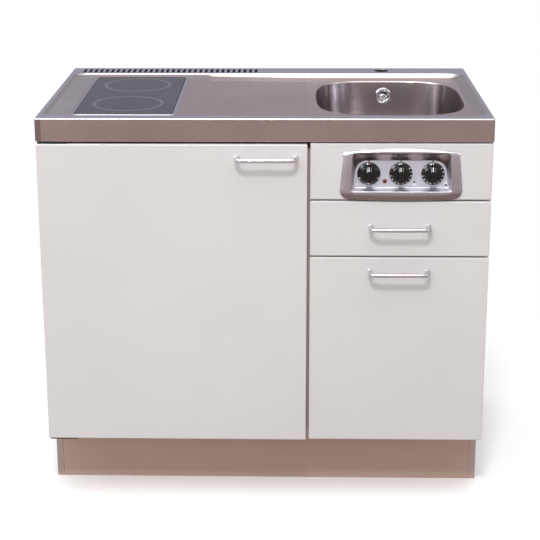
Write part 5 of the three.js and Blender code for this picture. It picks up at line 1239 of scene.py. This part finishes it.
# ---- Behind the hob and the control panel ----
# A folded zinc-plated casing with two radiant heaters under the glass, and a zinc box for the
# timer and the two energy switches.
def spangled(tree, tone):
    """Zinc crystals, each a little lighter or darker."""
    crystals = place(tree, "TexVoronoi", {"Vector": object_point(tree), "Scale": 110})
    shade = place(tree, "SeparateColor", {"Color": crystals.outputs["Color"]}).outputs[0]
    return painted(tree, tone, maths(tree, "MULTIPLY", shade, 0.35), linear(214, 216, 218))


zinc = new_finish(
    "zinc_plated_steel", (186, 190, 194), (160, 165, 170), (0.28, 0.4), metallic=1, patches=20,
    amount=0.7, bump=0.04, paint=spangled)
eased("hob_casing", "pan", zinc, "unit")
eased("control_box", "shell", zinc, "unit")
fibre = new_finish(
    "heater_fibre_board", (214, 206, 190), (190, 178, 158), (0.8, 0.95), patches=50, amount=0.8,
    grains=1300, bump=0.5)
eased("heater_front heater_rear", "dish", fibre, "unit", 0.5, 1)
black_moulding = new_finish(
    "black_moulded_plastic", (38.68, 38.68, 39.77), (48.39, 48.39, 49.24), (0.35, 0.5), patches=50,
    grains=1800, bump=0.1)
eased("timer_switch front_zone_switch rear_zone_switch", "body", black_moulding, "unit",
      0.8)


# ---- Refrigerator ----
# A built-in cabinet with a vacuum-formed white liner, glass shelves, a clear crisper, and a
# foamed door with a magnetic gasket and two clear racks. A thermostat box hangs at the top.
liner = new_finish(
    "white_liner_plastic", (232, 234, 234), (222, 225, 226), (0.22, 0.32), patches=5, amount=0.6,
    grains=1100, bump=0.06)
eased("fridge_cabinet", "liner", liner, "unit", 4, 3)
eased("fridge_door", "liner", liner, "door", 4, 3)
eased("thermostat_housing", "box", liner, "unit", 2, instead=True)
eased("thermostat_knob", "dial", liner, "thermostat", 0.8, instead=True)
clear = new_finish(
    "clear_plastic", (250, 252, 252), (246, 250, 251), (0.03, 0.08), patches=8, bump=0.01,
    sockets={"Transmission Weight": 0.94, "IOR": 1.49})
eased("fridge_shelf_lower fridge_shelf_upper crisper_drawer", "clear", clear, "unit",
      1)
eased("door_rack_lower door_rack_upper", "clear", clear, "door", 1)
gasket_grey = new_finish(
    "grey_gasket_vinyl", (196, 198, 200), (178, 180, 183), (0.5, 0.62), patches=20, amount=0.7,
    grains=1400, bump=0.12)
eased("door_gasket", "profile", gasket_grey, "door", 1.6, 3)
enamel = new_finish(
    "black_stoved_enamel", (28.58, 28.58, 30.02), (38.68, 38.68, 38.68), (0.25, 0.4), patches=14,
    amount=0.7, grains=1200, bump=0.1)
eased("compressor", "shell", enamel, "unit", 1.2, 3)
eased("condenser", "coil", enamel, "unit", 0)


# ---- Hinges, runners, trays and bin ----
# A black enamelled hinge bracket at the top, drawn black so that the gap it shows in reads dark,
# which is painted shade, and one at the bottom in the rail's dark brown; zinc-plated runners;
# trays folded from white-coated steel on the runners; a moulded grey waste bin that stands in
# the pull-out.
# Painted shade: the top bracket's leaf shows in a gap and is drawn black so that the gap reads
# dark.
eased("hinge_bracket_top", "plate", enamel, "unit", 0.4)
eased("hinge_bracket_bottom", "plate", dark_shade_band, "unit", 0.4)
eased("drawer_runner_left drawer_runner_right pullout_runner_left pullout_runner_right",
      "plate", zinc, "unit", 0.4)
coated = new_finish(
    "white_coated_steel", (222, 222, 222), (212, 212, 213), (0.3, 0.42), patches=6, amount=0.6,
    grains=1300, bump=0.15)
eased("drawer_tray", "shell", coated, "drawer", 0.8)
eased("pullout_tray", "shell", coated, "pullout", 0.8)
bin_grey = new_finish(
    "grey_bin_plastic", (120, 124, 130), (104, 108, 114), (0.36, 0.48), patches=10, amount=0.7,
    grains=1100, bump=0.15)
eased("waste_bin", "moulding", bin_grey, "pullout", 2.5, 3)
